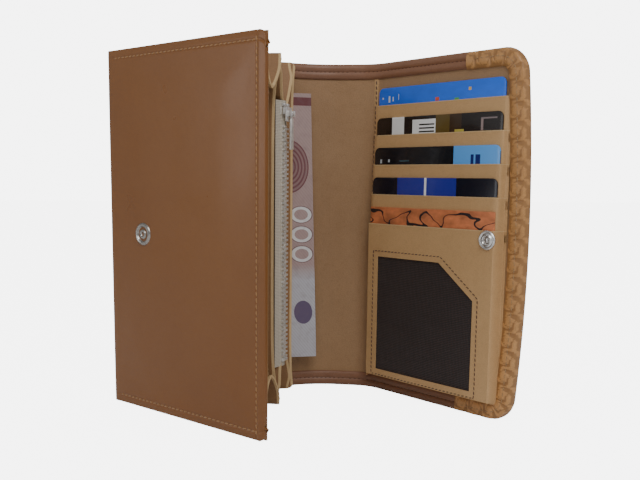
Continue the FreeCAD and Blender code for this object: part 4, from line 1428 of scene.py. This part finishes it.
@dataclass
class CardSide:
    """Cards, stepped pockets, and the mesh window of the lowest pocket."""

    layer_first: float = 0.7
    layer_step: float = 1.3
    clear: float = 0.1
    card_thick: float = 0.76
    card_wide: float = 85.6
    card_tall: float = 54.0
    card_left: float = 5.2
    card_show: float = 9.5
    slot_top: float = 165.5
    slot_step: float = 16.7
    left: float = 0.8
    right: float = 92.8
    bottom: float = 8.0
    side_bends: tuple[float, ...] = (1.6, 2.4, 3.2, 4.0, 4.7, 91.0, 91.3, 91.6, 91.9, 92.2, 92.5, 92.8)
    window: tuple[tuple[float, float], ...] = (
        (12.2, 14.0), (79.8, 14.0), (79.8, 61.9), (56.8, 80.0), (12.2, 80.0),
    )

    def slot_edge(self, number: int) -> float:
        """Return the height of one slot's edge."""
        return self.slot_top - number * self.slot_step

    def card_face(self, number: int) -> float:
        """Return the depth of a card's back face."""
        return -(self.layer_first + number * self.layer_step + self.clear)

    def make(self) -> None:
        """Make the cards, the pockets and the window."""
        finishes = (Finish.CARD_1, Finish.CARD_2, Finish.CARD_3, Finish.CARD_4, Finish.CARD_5)
        for number, finish in enumerate(finishes):
            self.card(number, finish)
            if number < 4:
                self.pocket(number)
        self.window_panel()
        self.side_seam()

    def card(self, number: int, finish: Finish) -> None:
        """Make one card with rounded corners and its print.

        Args:
            number: Which card, from 0 at the top.
            finish: The card's print.
        """
        top = self.slot_edge(number) + self.card_show
        far = self.card_face(number)
        low = (self.card_left, far - self.card_thick, top - self.card_tall)
        high = (self.card_left + self.card_wide, far, top)
        piece = Bench.block(f"card_{number + 1}_print", low, high)
        mesh = bmesh.new()
        mesh.from_mesh(piece.data)
        edges = [e for e in mesh.edges if abs(e.verts[0].co.y - e.verts[1].co.y) > 0.1]
        radius = 3.2 if number < 4 else 0.4
        bmesh.ops.bevel(mesh, geom=edges, offset=radius, segments=8, affect="EDGES", profile=0.5)
        mesh.to_mesh(piece.data)
        mesh.free()
        Bench.soften(piece, 110.0, 2, sharp=70.0)
        uv = piece.data.uv_layers[0].data
        for loop in piece.data.loops:
            place = piece.data.vertices[loop.vertex_index].co
            uv[loop.index].uv = ((place.x - low[0]) / self.card_wide, (place.z - low[2]) / self.card_tall)
        Bench.lay(piece, FLAP)
        dress(piece, finish)
        hang(piece, f"card_{number + 1}", (f"card_{number + 1}",), finish.value.name)

    def layer_depth(self, across: Array, up: Array, front: float, edge: float) -> Array:
        """Return a pocket's face: level over the cards, sloping down to the flap at its sides."""
        plateau = rise(across, self.left, self.card_left - 0.3) * (
            1 - rise(across, self.card_left + self.card_wide + 0.2, self.right)
        )
        bulge = 0.16 * np.sin(math.pi * np.clip((across - self.left) / (self.right - self.left), 0, 1))
        lip = 0.12 * (1 - rise(edge - up, 0.0, 1.6))
        return -0.75 + (front + 0.75) * plateau - bulge - lip

    def pocket(self, number: int) -> None:
        """Make one plain pocket with a turned slot edge.

        Args:
            number: Which pocket, from 0 at the top.
        """
        edge = self.slot_edge(number)
        front = self.card_face(number) - self.card_thick - self.clear - 0.3
        low = max(self.slot_edge(number + 1) - 6.0, edge - 46.0)
        columns = lines(self.left, self.right + 1.4, 3.0, self.side_bends)
        rows = lines(low, edge, 2.0, [edge - 0.4, edge - 0.9, edge - 1.6])
        piece = Bench.grid(
            f"card_pocket_{number + 1}_leather",
            columns,
            rows,
            lambda x, z: FLAP.point(x, z, self.layer_depth(x, z, front, edge)),
        )
        piece.data.flip_normals()
        Bench.thicken(piece, 0.3, rim=1)
        Bench.band(piece, lambda x, z: z > edge - 0.45)
        Bench.activate(piece)
        bpy.ops.object.shade_smooth_by_angle(angle=math.radians(45.0))
        dress(piece, Finish.POCKET, Finish.RAW_EDGE)
        hang(piece, "flap", (f"card_pocket_{number + 1}",), "pocket_leather")

    def window_panel(self) -> None:
        """Make the lowest pocket with its window, the mesh, and the stitches round it."""
        edge = self.slot_edge(4)
        far = self.card_face(4) - self.card_thick - self.clear
        front = far - 0.25 - 0.55
        xs = sorted({point[0] for point in self.window})
        zs = sorted({point[1] for point in self.window})
        columns = lines(self.left, self.right + 1.4, 2.0, [*xs, *self.side_bends])
        rows = lines(self.bottom, edge, 2.0, [*zs, edge - 0.4, edge - 0.9])
        piece = Bench.grid("window_pocket_leather", columns, rows, lambda x, z: np.stack([x, z * 0, z], axis=-1))
        piece.data.flip_normals()
        self.cut_window(piece)
        self.drape(piece, front, edge)
        Bench.thicken(piece, 0.5, rim=1)
        Bench.band(piece, lambda x, z: z > edge - 0.45)
        Bench.activate(piece)
        bpy.ops.object.shade_smooth_by_angle(angle=math.radians(45.0))
        dress(piece, Finish.POCKET, Finish.RAW_EDGE)
        hang(piece, "flap", ("window_pocket",), "pocket_leather")
        self.mesh_sheet(far)
        grown = self.grown(3.2)
        thread = Seam(2.5, 1.9, 0.27, 10.0).sew(
            "window_stitches", FLAP, grown, front - 0.16, Finish.DARK_THREAD, closed=True
        )
        hang(thread, "flap", (), "pocket_leather")

    def grown(self, margin: float) -> list[tuple[float, float]]:
        """Return the window's corners moved outwards by a margin."""
        corners = np.array(self.window)
        out = []
        for index in range(len(corners)):
            before, here, after = corners[index - 1], corners[index], corners[(index + 1) % len(corners)]
            one, two = here - before, after - here
            one, two = one / np.linalg.norm(one), two / np.linalg.norm(two)
            normals = np.array([[one[1], -one[0]], [two[1], -two[0]]])
            shift = np.linalg.solve(normals, np.array([margin, margin]))
            out.append(tuple(here + shift))
        return out

    def cut_window(self, piece: bpy.types.Object) -> None:
        """Cut the window's cut-off corner along its line, then take out the faces inside.

        Args:
            piece: The flat pocket panel.
        """
        corners = [Vector((x, 0.0, z)) for x, z in self.window]
        slope = corners[3] - corners[2]
        across = Vector((slope.z, 0.0, -slope.x)).normalized()
        Bench.activate(piece)
        bpy.ops.object.mode_set(mode="EDIT")
        mesh = bmesh.from_edit_mesh(piece.data)
        for face in mesh.faces:
            centre = face.calc_center_median()
            face.select = 50 < centre.x < 86 and 55 < centre.z < 86
        bmesh.update_edit_mesh(piece.data)
        bpy.ops.mesh.bisect(plane_co=corners[2], plane_no=across)
        mesh = bmesh.from_edit_mesh(piece.data)
        bpy.ops.mesh.select_all(action="DESELECT")
        (left, low), (right, _), (_, _), (_, high), (_, _) = self.window
        for face in mesh.faces:
            centre = face.calc_center_median()
            inside = left < centre.x < right and low < centre.z < high
            face.select = inside and (centre - corners[2]).dot(across) * across.x * across.x < 0
        bmesh.update_edit_mesh(piece.data)
        bpy.ops.mesh.delete(type="FACE")
        bpy.ops.object.mode_set(mode="OBJECT")

    def drape(self, piece: bpy.types.Object, front: float, edge: float) -> None:
        """Lay the flat pocket panel at its depth on the flap."""
        co = np.zeros(len(piece.data.vertices) * 3, np.float32)
        piece.data.vertices.foreach_get("co", co)
        co = co.reshape(-1, 3)
        depth = self.layer_depth(co[:, 0], co[:, 2], front, edge)
        slump = rise(co[:, 2], self.bottom - 0.5, self.bottom + 2.0)
        depth = -0.8 + (depth + 0.8) * slump
        piece.data.vertices.foreach_set("co", FLAP.point(co[:, 0], co[:, 2], depth).astype(np.float32).ravel())
        piece.data.update()

    def mesh_sheet(self, far: float) -> None:
        """Make the mesh behind the window, sagging a little.

        Args:
            far: The depth of the pocket's back face.
        """
        def mesh_point(x: Array, z: Array) -> Array:
            """Return points on the mesh."""
            held = np.sin(math.pi * (x - 8) / 76) * np.sin(math.pi * (z - 10) / 74)
            ripple = 0.5 + 0.5 * np.sin(x * 0.21 + z * 0.13) * np.sin(z * 0.17 - x * 0.06)
            return FLAP.point(x, z, far - 0.12 - 0.5 * held * ripple)

        piece = Bench.grid("window_mesh_cloth", lines(8.6, 83.4, 2.0), lines(11.4, 83.6, 2.0), mesh_point)
        piece.data.flip_normals()
        Bench.apply(piece, "SOLIDIFY", thickness=0.12 * MM, offset=-1.0)
        Bench.activate(piece)
        bpy.ops.object.shade_smooth_by_angle(angle=math.radians(45.0))
        dress(piece, Finish.MESH)
        hang(piece, "flap", ("window_mesh",), "window_mesh")

    def top_layer(self, across: Array, up: Array) -> Array:
        """Return the depth of the outermost pocket's face at places on the flap."""
        number = np.clip(np.floor((self.slot_top - up) / self.slot_step), -1, 4)
        front = -(self.layer_first + number * self.layer_step + self.clear) - self.card_thick - self.clear - 0.3
        front = np.where(number == 4, front - 0.5, front)
        return np.where(number >= 0, self.layer_depth(across, up, front, up + 3.0), -0.1)

    def side_seam(self) -> None:
        """Sew the pockets down along the flap's bend, over a narrow folded strip."""
        def strip_point(x: Array, z: Array) -> Array:
            """Return points on the strip's face, which lies over the pockets' ends."""
            return FLAP.point(x, z, np.minimum(self.top_layer(x, z), -0.75) - 0.32 - 0.15 * np.cos((x - 1.4) * 1.2))

        piece = Bench.grid(
            "pocket_strip_leather", np.linspace(-0.6, 3.6, 9), lines(8.2, SIZES.height - 8.4, 1.6), strip_point
        )
        piece.data.flip_normals()
        Bench.thicken(piece, 0.45, rim=1)
        Bench.activate(piece)
        bpy.ops.object.shade_smooth_by_angle(angle=math.radians(60.0))
        dress(piece, Finish.POCKET, Finish.RAW_EDGE)
        hang(piece, "flap", (), "pocket_leather")
        track = [(2.5, z) for z in np.linspace(9.0, SIZES.height - 9.0, 60)]
        thread = Seam(2.8, 2.2, 0.34, 14.0).sew(
            "pocket_strip_stitches", FLAP, track,
            lambda x, z: np.minimum(self.top_layer(x, z), -0.75) - 0.4, Finish.DARK_THREAD,
        )
        hang(thread, "flap", (), "pocket_leather")


# ------------------------------------------------------------------ pocket block


@dataclass(frozen=True)
class Trough:
    """A folded gusset's sizes: it widens and deepens from the edge fold to the mouth."""

    name: str
    panel: Panel
    mouth: tuple[float, float]
    half: tuple[float, float]
    deep: float
    centre: float
    reach: float
    body: str
    wall: Panel
    keep: float

    def shape(self, share: Array, u: Array) -> tuple[Array, Array, Array]:
        """Return distance out, drop and sideways place for shares of the way out and across."""
        away = np.clip(np.abs(u - self.centre) / self.reach, 0.0, 1.0)
        hang = 1 - away**2.2
        cap = 1.6 * (1 - away) + 0.5 * np.sin(math.pi * (u + 1) / 2)
        drop = self.deep * share**1.15 * hang + cap + 0.5
        crease = 0.5 * np.exp(-(((u - self.centre) / 0.035) ** 2)) * share
        out = share * (self.mouth[0] + (self.mouth[1] - self.mouth[0]) * (u + 1) / 2)
        out = out - (1.6 * hang + 2.6 * rise(np.abs(u), 0.78, 1.0)) * rise(share, 0.6, 1.0)
        side = np.where(u < 0, u * self.half[0], u * self.half[1]) * share
        return out, drop + crease, side


@dataclass
class PocketBlock:
    """The coin pocket's walls and the four gussets."""

    wall: float = 1.2
    start: float = 6.0
    front_wide: float = 88.0
    rear_wide: float = 96.0
    front_offset: float = -0.9
    rear_offset: float = 0.5
    margin: float = 1.0
    gusset_top: float = 187.2
    gusset_thick: float = 1.2
    seam: Seam = field(default_factory=lambda: Seam(2.8, 2.2, 0.27, 10.0))

    def make(self) -> None:
        """Make the walls, then the gussets."""
        self.wall_panel("coin_wall_front", COIN_FRONT, self.front_wide, self.front_offset, "coin_front")
        self.wall_panel("coin_wall_rear", COIN_REAR, self.rear_wide, self.rear_offset, "coin_rear")
        front_middle = (SIZES.front_angle + SIZES.coin_front_angle) / 2
        coin_middle = (SIZES.coin_front_angle + SIZES.coin_rear_angle) / 2
        pairs = (
            Trough("front_gusset", Panel(EDGE, front_middle), (89.0, 87.2), (26.4, 23.6), 15.8, 0.44, 0.46,
                   "coin_front", COIN_FRONT, 0.05),
            Trough("coin_gusset", Panel(EDGE, coin_middle), (86.6, 94.0), (14.9, 15.9), 23.5, 0.0, 0.96,
                   "coin_rear", COIN_REAR, 0.18),
        )
        for trough in pairs:
            for place in ("top", "bottom"):
                self.gusset(trough, place == "top")

    @staticmethod
    def hollow(across: Array | float, up: Array, wide: float) -> Array:
        """Return how far a wall's mouth curves in between its ends."""
        share = np.clip(1 - (2 * np.asarray(up, float) / SIZES.height - 1) ** 8, 0.0, 1.0)
        return (3.9 if wide < 90 else 1.2) * share * rise(across, 40.0, wide)

    def wall_panel(self, node: str, panel: Panel, wide: float, offset: float, body: str) -> None:
        """Make one wall with pale cut edges, painted shade away from its mouth, and a seam beside its mouth.

        Args:
            node: The part that the wall stands for.
            panel: The frame that it lies in.
            wide: Its reach from the edge fold.
            offset: Its middle's distance from the panel's plane.
            body: The body that it moves with.
        """
        def face_point(x: Array, z: Array) -> Array:
            """Return points on the wall's rear face."""
            lift = corner_lift(wide - x, 3.0)
            up = self.margin + lift + (SIZES.height - 2 * (self.margin + lift)) * z / SIZES.height
            wave = 0.35 * np.sin(z * 0.045 + 0.6) * rise(x, 30.0, wide)
            return panel.point(x - self.hollow(x, z, wide), up, offset + self.wall / 2 + wave)

        corner = [wide - 3.0 * (1 - math.sin(t)) for t in np.linspace(0, math.pi / 2, 6)]
        corner += [wide - 1.25, wide - 1.0]
        columns, rows = lines(self.start, wide, 3.0, corner), lines(0, SIZES.height, 4.0)
        piece = Bench.grid(f"{node}_leather", columns, rows, face_point)
        Bench.thicken(piece, self.wall, rim=1)
        Bench.band(piece, lambda x, z: x > wide - 1.15)
        Bench.soften(piece, 0.3, 2)
        # The wall finish paints shade on the wall, darkest away from its mouth.
        dress(piece, Finish.WALL, Finish.RAW_EDGE)
        hang(piece, body, (node,), "pocket_leather")
        thread = self.seam.sew(
            f"{node}_stitches", panel,
            [(wide - 3.5 - float(self.hollow(wide - 3.5, np.array(z), wide)), z) for z in np.linspace(8, 181, 25)],
            lambda x, z: offset - self.wall / 2 + 0.35 * np.sin(z * 0.045 + 0.6) - 0.02, Finish.PALE_THREAD,
        )
        hang(thread, body, (), "pocket_leather")

    def gusset(self, trough: Trough, top: bool) -> None:
        """Make one folded gusset, its pale cut lip, the seam along its middle and its tack.

        Args:
            trough: The gusset's sizes.
            top: Whether it closes the top end or the bottom end.
        """
        name = f"{trough.name}_{'top' if top else 'bottom'}"

        def trough_point(share: Array, u: Array) -> Array:
            """Return points on the trough: u runs from one wall to the other."""
            out, up, side = trough.shape(share, u)
            up = self.gusset_top - up
            return trough.panel.point(out, up if top else SIZES.height - up, side)

        columns = np.concatenate([np.linspace(0.12, 0.97, 30), [0.985, 0.993, 1.0]])
        piece = Bench.grid(f"{name}_leather", columns, np.linspace(-1, 1, 57), trough_point)
        if not top:
            piece.data.flip_normals()
        Bench.thicken(piece, self.gusset_thick, rim=1)
        Bench.band(piece, lambda share, u: share > 0.985)
        Bench.soften(piece, 0.3, 2)
        dress(piece, Finish.GUSSET, Finish.RAW_EDGE)
        self.fold_away(piece, trough)
        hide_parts(name)
        for part, ends in (("seam", ((0.5, 0.0), (0.965, 0.0))), ("tack", ((0.62, -0.7), (0.62, 0.7)))):
            steps = np.linspace(0.0, 1.0, 30)
            share = ends[0][0] + (ends[1][0] - ends[0][0]) * steps
            u = trough.centre + trough.reach * (ends[0][1] + (ends[1][1] - ends[0][1]) * steps)
            out, up, side = trough.shape(share, np.clip(u, -1, 0.98))
            up = self.gusset_top - up
            place = trough.panel.point(out, up if top else SIZES.height - up, side)
            normal = np.array([0.0, 0.0, 1.0 if top else -1.0])
            thread = self.seam.sew_line(f"{name}_{part}", place, normal, Finish.DARK_THREAD)
            self.fold_away(thread, trough)

    @staticmethod
    def fold_away(piece: bpy.types.Object, trough: Trough) -> None:
        """Tie a piece of the gusset to its wall's body."""
        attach(piece, trough.body)
        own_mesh(piece)
        LOG.info("%s: %d faces", piece.name, len(piece.data.polygons))


@dataclass
class ZipFastener:
    """The coin pocket's zip: tapes, teeth, stops, slider and puller."""

    out: float = SIZES.chain_out
    bottom: float = 24.5
    top: float = 153.5
    pitch: float = 2.4
    tape_low: float = 20.0
    tape_high: float = 165.0
    pin_out: float = 3.8
    pin_up: float = 158.0
    cord: float = 0.7

    def make(self) -> None:
        """Make each part of the zip."""
        self.tape("zip_tape_front", -1.0, 11.4, -2.2)
        self.tape("zip_tape_rear", 1.0, 18.6, -7.0)
        self.teeth("zip_chain_front", -1.0)
        self.teeth("zip_chain_rear", 1.0)
        self.stops()
        self.slider()
        self.puller()

    def tape(self, node: str, side: float, reach: float, shift: float) -> None:
        """Make one woven tape from the teeth to the pocket wall, with a strip of painted shade by the wall on the front
        tape.

        Args:
            node: The part that the tape stands for.
            side: -1 towards the front wall, 1 towards the rear wall.
            reach: How far away from the teeth it is sewn.
            shift: How much further out it is sewn than the teeth are.
        """
        def tape_point(share: Array, z: Array) -> Array:
            """Return points on the tape's face; share runs from the teeth to the wall."""
            away = self.cord + (reach - self.cord) * share
            cord = 0.45 * np.exp(-(((away - 3.4) / 0.6) ** 2))
            sag = 0.5 * np.sin(math.pi * share)
            bow = -0.6 * share * (1 - (2 * z / SIZES.height - 1) ** 4)
            return ZIP.point(self.out + shift * share + 0.25 + cord - sag + bow, z, side * away)

        wide = math.hypot(reach - self.cord, shift)
        rows = lines(self.tape_low, self.tape_high, 3.0)
        piece = Bench.grid(f"{node}_cloth", np.linspace(0, 1, 17), rows, tape_point)
        if side > 0:
            piece.data.flip_normals()
        Bench.apply(piece, "SOLIDIFY", thickness=0.5 * MM, offset=-1.0)
        # Painted shade: the front tape's part nearest the wall takes the wall finish, whose colour at these UV places
        # is its full painted shade.
        Bench.band(piece, lambda share, z: side < 0 and share > 0.66)
        uv = piece.data.uv_layers[0].data
        for loop in uv:
            loop.uv = (loop.uv[0] * wide, loop.uv[1])
        Bench.activate(piece)
        bpy.ops.object.shade_smooth_by_angle(angle=math.radians(50.0))
        dress(piece, Finish.TAPE, Finish.WALL)
        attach(piece, "zip")
        place = ZIP.point(np.array([self.out]), np.array([0.0]), 0.0)[0]
        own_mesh(piece)
        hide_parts(node)
        LOG.info("%s: %d faces", piece.name, len(piece.data.polygons))

    def teeth(self, node: str, side: float) -> None:
        """Make one row of interlocking teeth, each a bevelled bar with a nib.

        Args:
            node: The part that the row stands for.
            side: -1 for the front row, 1 for the rear row.
        """
        low, high = (-1.0, 3.0) if side > 0 else (-3.0, 1.0)
        tooth = Bench.block(f"{node}_tooth", (-0.95, low, -0.56), (0.95, high, 0.56))
        mesh = bmesh.new()
        mesh.from_mesh(tooth.data)
        bmesh.ops.bevel(mesh, geom=mesh.edges[:], offset=0.22, segments=2, affect="EDGES", profile=0.6)
        for vertex in mesh.verts:
            inner = vertex.co.y * side < -0.2
            if inner:
                vertex.co.x *= 0.75
            vertex.co *= MM
        mesh.to_mesh(tooth.data)
        mesh.free()
        count = int((self.top - self.bottom) / self.pitch)
        offset = 0.7 if side > 0 else 0.7 + self.pitch / 2
        heights = self.bottom + offset + np.arange(count) * self.pitch
        places = ZIP.point(np.full(count, self.out), heights, 0.0)
        angle = math.radians(ZIP.angle)
        turn = np.array(Matrix.Rotation(angle, 3, "Z"))
        piece = Bench.stamp(f"{node}_teeth", tooth, places, np.repeat(turn[None], count, axis=0))
        Bench.activate(piece)
        bpy.ops.object.shade_smooth_by_angle(angle=math.radians(35.0))
        dress(piece, Finish.ZIP_METAL)
        hang(piece, "zip", (node,), "zip_metal")

    def stops(self) -> None:
        """Make the bottom stop and the two top stops."""
        bottom = Bench.block("zip_bottom_stop_metal", (self.out - 1.1, -3.2, 22.6), (self.out + 1.1, 3.2, 24.3))
        Bench.soften(bottom, 450.0, 3)
        Bench.lay(bottom, ZIP)
        dress(bottom, Finish.ZIP_METAL)
        hang(bottom, "zip", ("zip_bottom_stop",), "zip_metal")
        pair = [
            Bench.block(f"stop_{n}", (self.out - 1.0, a, 161.9), (self.out + 1.0, b, 163.5))
            for n, (a, b) in enumerate(((0.9, 3.6), (-3.6, -0.9)))
        ]
        top = Bench.join("zip_top_stops_metal", pair)
        Bench.soften(top, 400.0, 3)
        Bench.lay(top, ZIP)
        dress(top, Finish.ZIP_METAL)
        hang(top, "zip", ("zip_top_stops",), "zip_metal")

    def slider(self) -> None:
        """Make the slider: domed plates, side flanges, divider, lugs and pin."""
        parts = []
        for name, near in (("front", 1.3), ("rear", -2.3)):
            plate = Bench.block(f"slider_{name}", (self.out + near, -4.3, 154.0), (self.out + near + 1.0, 4.3, 161.5))
            for vertex in plate.data.vertices:
                if vertex.co.z < 156:
                    vertex.co.y *= 0.74
            parts.append(plate)
        for near in (-1.3, 0.5):
            for side in (-1, 1):
                low, high = sorted((side * 3.8, side * 4.3))
                parts.append(Bench.block("flange", (self.out + near, low, 157.5), (self.out + near + 0.8, high, 161.5)))
        parts.append(Bench.block("divider", (self.out - 1.35, -0.6, 159.0), (self.out + 1.35, 0.6, 161.5)))
        for side in (-1, 1):
            low, high = sorted((side * 1.7, side * 2.4))
            parts.append(Bench.block("lug", (self.out + 2.2, low, 156.5), (self.out + 4.9, high, 159.5)))
        body = Bench.join("zip_slider_metal", parts)
        Bench.soften(body, 260.0, 3)
        Bench.clear()
        bpy.ops.mesh.primitive_cylinder_add(
            vertices=24, radius=0.6, depth=3.6, location=(self.out + self.pin_out, 0, self.pin_up),
            rotation=(math.pi / 2, 0, 0),
        )
        pin = bpy.context.object
        bpy.ops.object.transform_apply(location=True, rotation=True, scale=True)
        body = Bench.join("zip_slider_metal", [body, pin])
        Bench.lay(body, ZIP)
        dress(body, Finish.ZIP_METAL)
        hang(body, "slider", ("zip_slider",), "zip_metal")

    def puller(self) -> None:
        """Make the puller: an eye, a neck and a tapering tab with a slot."""
        Bench.clear()
        place = (self.out + self.pin_out, 0, self.pin_up)
        bpy.ops.mesh.primitive_torus_add(
            major_radius=1.0, minor_radius=0.34, major_segments=28, minor_segments=12,
            location=place, rotation=(math.pi / 2, 0, 0),
        )
        eye = bpy.context.object
        eye.scale = (1.0, 1.0, 3.4)
        bpy.ops.object.transform_apply(location=True, rotation=True, scale=True)
        out = self.out + self.pin_out
        neck = Bench.block("neck", (out - 0.5, -1.0, 155.3), (out + 0.5, 1.0, 157.1))
        tab = Bench.block("tab", (out - 0.5, -2.1, 139.0), (out + 0.5, 2.1, 155.5))
        Bench.activate(tab)
        bpy.ops.object.mode_set(mode="EDIT")
        mesh = bmesh.from_edit_mesh(tab.data)
        for face in mesh.faces:
            face.select = abs(face.normal.x) > 0.9
        bmesh.update_edit_mesh(tab.data)
        bpy.ops.mesh.inset(thickness=0.75, use_individual=True)
        bpy.ops.transform.resize(value=(0.62, 1.0, 1.0), center_override=(out, 0, 147))
        bpy.ops.object.mode_set(mode="OBJECT")
        for vertex in tab.data.vertices:
            share = (vertex.co.z - 139.0) / 16.5
            vertex.co.y *= 1.0 - 0.28 * share
        Bench.soften(tab, 300.0, 3, sharp=30.0)
        Bench.soften(neck, 250.0, 2)
        body = Bench.join("zip_puller_metal", [eye, neck, tab])
        Bench.activate(body)
        bpy.ops.object.shade_smooth_by_angle(angle=math.radians(40.0))
        Bench.lay(body, ZIP)
        dress(body, Finish.ZIP_METAL)
        hang(body, "puller", ("zip_puller",), "zip_metal")


@dataclass
class Banknote:
    """A banknote behind the coin pocket."""

    left: float = 37.0
    wide: float = 72.0
    low: float = 19.5
    tall: float = 152.0
    offset: float = 1.65

    def make(self) -> None:
        """Make the note with a slight curl and a handled surface."""
        def note_point(x: Array, z: Array) -> Array:
            """Return points on the note."""
            curl = -1.6 * rise(x, 92.0, 112.0) * (0.6 + 0.4 * np.sin(z * 0.035))
            crease = 0.12 * np.sin(z * 0.23 + x * 0.08) * rise(x, 60.0, 100.0)
            lean = 1.0 - 4.6 * (z - self.low) / self.tall
            return COIN_REAR.point(x + lean, z, self.offset + curl * 0.5 + crease)

        columns, rows = lines(self.left, self.left + self.wide, 2.0), lines(self.low, self.low + self.tall, 2.5)
        piece = Bench.grid("banknote_paper", columns, rows, note_point)
        uv = piece.data.uv_layers[0].data
        for loop in uv:
            across, up = loop.uv[0] / UV_PER_MM, loop.uv[1] / UV_PER_MM
            loop.uv = ((across - self.left) / self.wide, (up - self.low) / self.tall)
        Bench.apply(piece, "SOLIDIFY", thickness=0.12 * MM, offset=0.0)
        Bench.activate(piece)
        bpy.ops.object.shade_smooth_by_angle(angle=math.radians(60.0))
        dress(piece, Finish.NOTE)
        hang(piece, "banknote", ("banknote",), "banknote_paper")


@dataclass
class Snap:
    """The snap fastener: stud on the front panel, washer behind it, socket on the flap."""

    up: float = 94.0
    on_front: float = 26.1
    on_flap: float = 87.5
    face: float = 5.2
    puff: float = 0.5

    def make(self) -> None:
        """Make the three parts of the snap."""
        base = self.face + self.puff
        stud = [
            (0.0, -self.face + 3.2), (2.0, -self.face + 3.2), (2.0, -base), (5.9, -base + 0.2), (5.95, -base - 0.4),
            (5.6, -base - 1.1), (4.9, -base - 1.5), (4.2, -base - 1.35), (3.8, -base - 0.7), (3.4, -base - 0.35),
            (2.6, -base - 0.3), (2.5, -base - 0.9), (2.1, -base - 1.3), (1.5, -base - 1.35), (1.1, -base - 1.0),
            (0.9, -base - 0.5), (0.0, -base - 0.45),
        ]
        self.turned("snap_stud_metal", stud, FRONT, self.on_front, "front", "snap_stud")
        washer = [(0.0, -1.98), (4.5, -1.98), (4.4, -1.6), (3.8, -1.5), (0.0, -1.5)]
        self.turned("snap_washer_metal", washer, FRONT, self.on_front, "front", "snap_stud_washer")
        face = -7.62
        socket = [
            (0.0, face + 0.75), (2.6, face + 0.75), (2.6, face + 0.55), (1.9, face + 0.5), (1.9, face), (5.0, face),
            (5.05, face - 0.4), (4.8, face - 0.9), (4.3, face - 1.15), (3.9, face - 0.95), (3.6, face - 0.75),
            (3.3, face - 0.95), (2.9, face - 1.35), (2.4, face - 1.4), (2.1, face - 1.1), (1.9, face - 0.6),
            (1.3, face - 0.55), (1.1, face - 1.0), (0.7, face - 1.2), (0.0, face - 1.25),
        ]
        self.turned("snap_socket_metal", socket, FLAP, self.on_flap, "flap", "snap_socket")

    def turned(
        self, name: str, profile: Sequence[tuple[float, float]], panel: Panel, across: float, body: str, node: str
    ) -> None:
        """Spin one part of the snap and set it in its panel."""
        piece = Bench.spun(name, profile)
        for vertex in piece.data.vertices:
            vertex.co = Vector((vertex.co.x + across, vertex.co.y, vertex.co.z + self.up))
        Bench.lay(piece, panel)
        Bench.activate(piece)
        bpy.ops.object.shade_smooth_by_angle(angle=math.radians(38.0))
        dress(piece, Finish.ANTIQUE if body == "front" else Finish.NICKEL)
        hang(piece, body, (node,), "snap_metal")


# ------------------------------------------------------------------ studio


@dataclass
class Studio:
    """The floor, the lights and the camera."""

    lens: float = 44.6
    shift_x: float = -0.0068
    shift_y: float = 0.072
    camera_place: tuple[float, float, float] = (-130.2, -394.2, 123.0)
    yaw: float = 19.32
    pitch: float = 7.61
    roll: float = 0.72
    white: float = 5.5
    ambient: float = 0.36

    def make(self) -> None:
        """Set the floor, lights and camera."""
        Bench.clear()
        bpy.ops.mesh.primitive_plane_add(size=8.0, location=(0.0, 0.0, -0.0004))
        floor = bpy.context.object
        floor.name = "studio_floor"
        graph = Graph("studio_floor")
        graph.colour((0.92, 0.92, 0.93))
        graph.feed("Roughness", 0.7)
        graph.feed("Specular IOR Level", 0.1)
        seen = graph.node("ShaderNodeLightPath").outputs["Is Camera Ray"]
        graph.feed("Emission Color", (1.0, 1.0, 1.0))
        graph.feed("Emission Strength", graph.math("MULTIPLY", seen, self.white))
        floor.data.materials.append(graph.material)
        world = bpy.data.worlds.new("studio")
        bpy.context.scene.world = world
        world.use_nodes = True
        tree = world.node_tree
        path = tree.nodes.new("ShaderNodeLightPath")
        power = tree.nodes.new("ShaderNodeMapRange")
        power.inputs["To Min"].default_value = self.ambient
        power.inputs["To Max"].default_value = self.white + 0.6
        tree.links.new(path.outputs["Is Camera Ray"], power.inputs["Value"])
        tree.links.new(power.outputs["Result"], tree.nodes["Background"].inputs["Strength"])
        tree.nodes["Background"].inputs["Color"].default_value = (1.0, 1.0, 1.0, 1.0)
        self.light("key", (-0.10, -0.70, 0.85), (0.0, 0.0, 0.09), 0.55, 4.2)
        self.light("side", (0.55, -0.55, 0.45), (0.0, 0.0, 0.10), 0.50, 0.5)
        self.light("sheen", (-0.88, -0.05, 0.28), (-0.06, 0.0, 0.12), 0.35, 0.8)
        self.camera()

    def light(
        self, name: str, place: tuple[float, float, float], at: tuple[float, float, float], size: float, power: float
    ) -> None:
        """Add a soft square light that looks at a point."""
        data = bpy.data.lights.new(name, "AREA")
        data.size, data.energy = size, power
        lamp = bpy.data.objects.new(name, data)
        lamp.location = place
        lamp.rotation_euler = (Vector(at) - Vector(place)).to_track_quat("-Z", "Y").to_euler()
        bpy.context.scene.collection.objects.link(lamp)

    def camera(self) -> None:
        """Add the camera."""
        data = bpy.data.cameras.new("camera")
        data.lens, data.sensor_width = self.lens, 36.0
        data.shift_x, data.shift_y = self.shift_x, self.shift_y
        lens = bpy.data.objects.new("camera", data)
        turn = Matrix.Rotation(math.radians(-self.yaw), 4, "Z") @ Matrix.Rotation(math.radians(90 - self.pitch), 4, "X")
        turn = turn @ Matrix.Rotation(math.radians(self.roll), 4, "Z")
        lens.matrix_world = Matrix.Translation(Vector(self.camera_place) * MM) @ turn
        bpy.context.scene.collection.objects.link(lens)
        bpy.context.scene.camera = lens


def main() -> None:
    """Build the wallet in order, then its studio."""
    logging.basicConfig(level=logging.INFO, format="%(message)s")
    OuterLeather().make()
    Lining().make()
    TooledEnd().make()
    CardSide().make()
    PocketBlock().make()
    ZipFastener().make()
    Banknote().make()
    Snap().make()
    Studio().make()


if __name__ == "__main__":
    main()
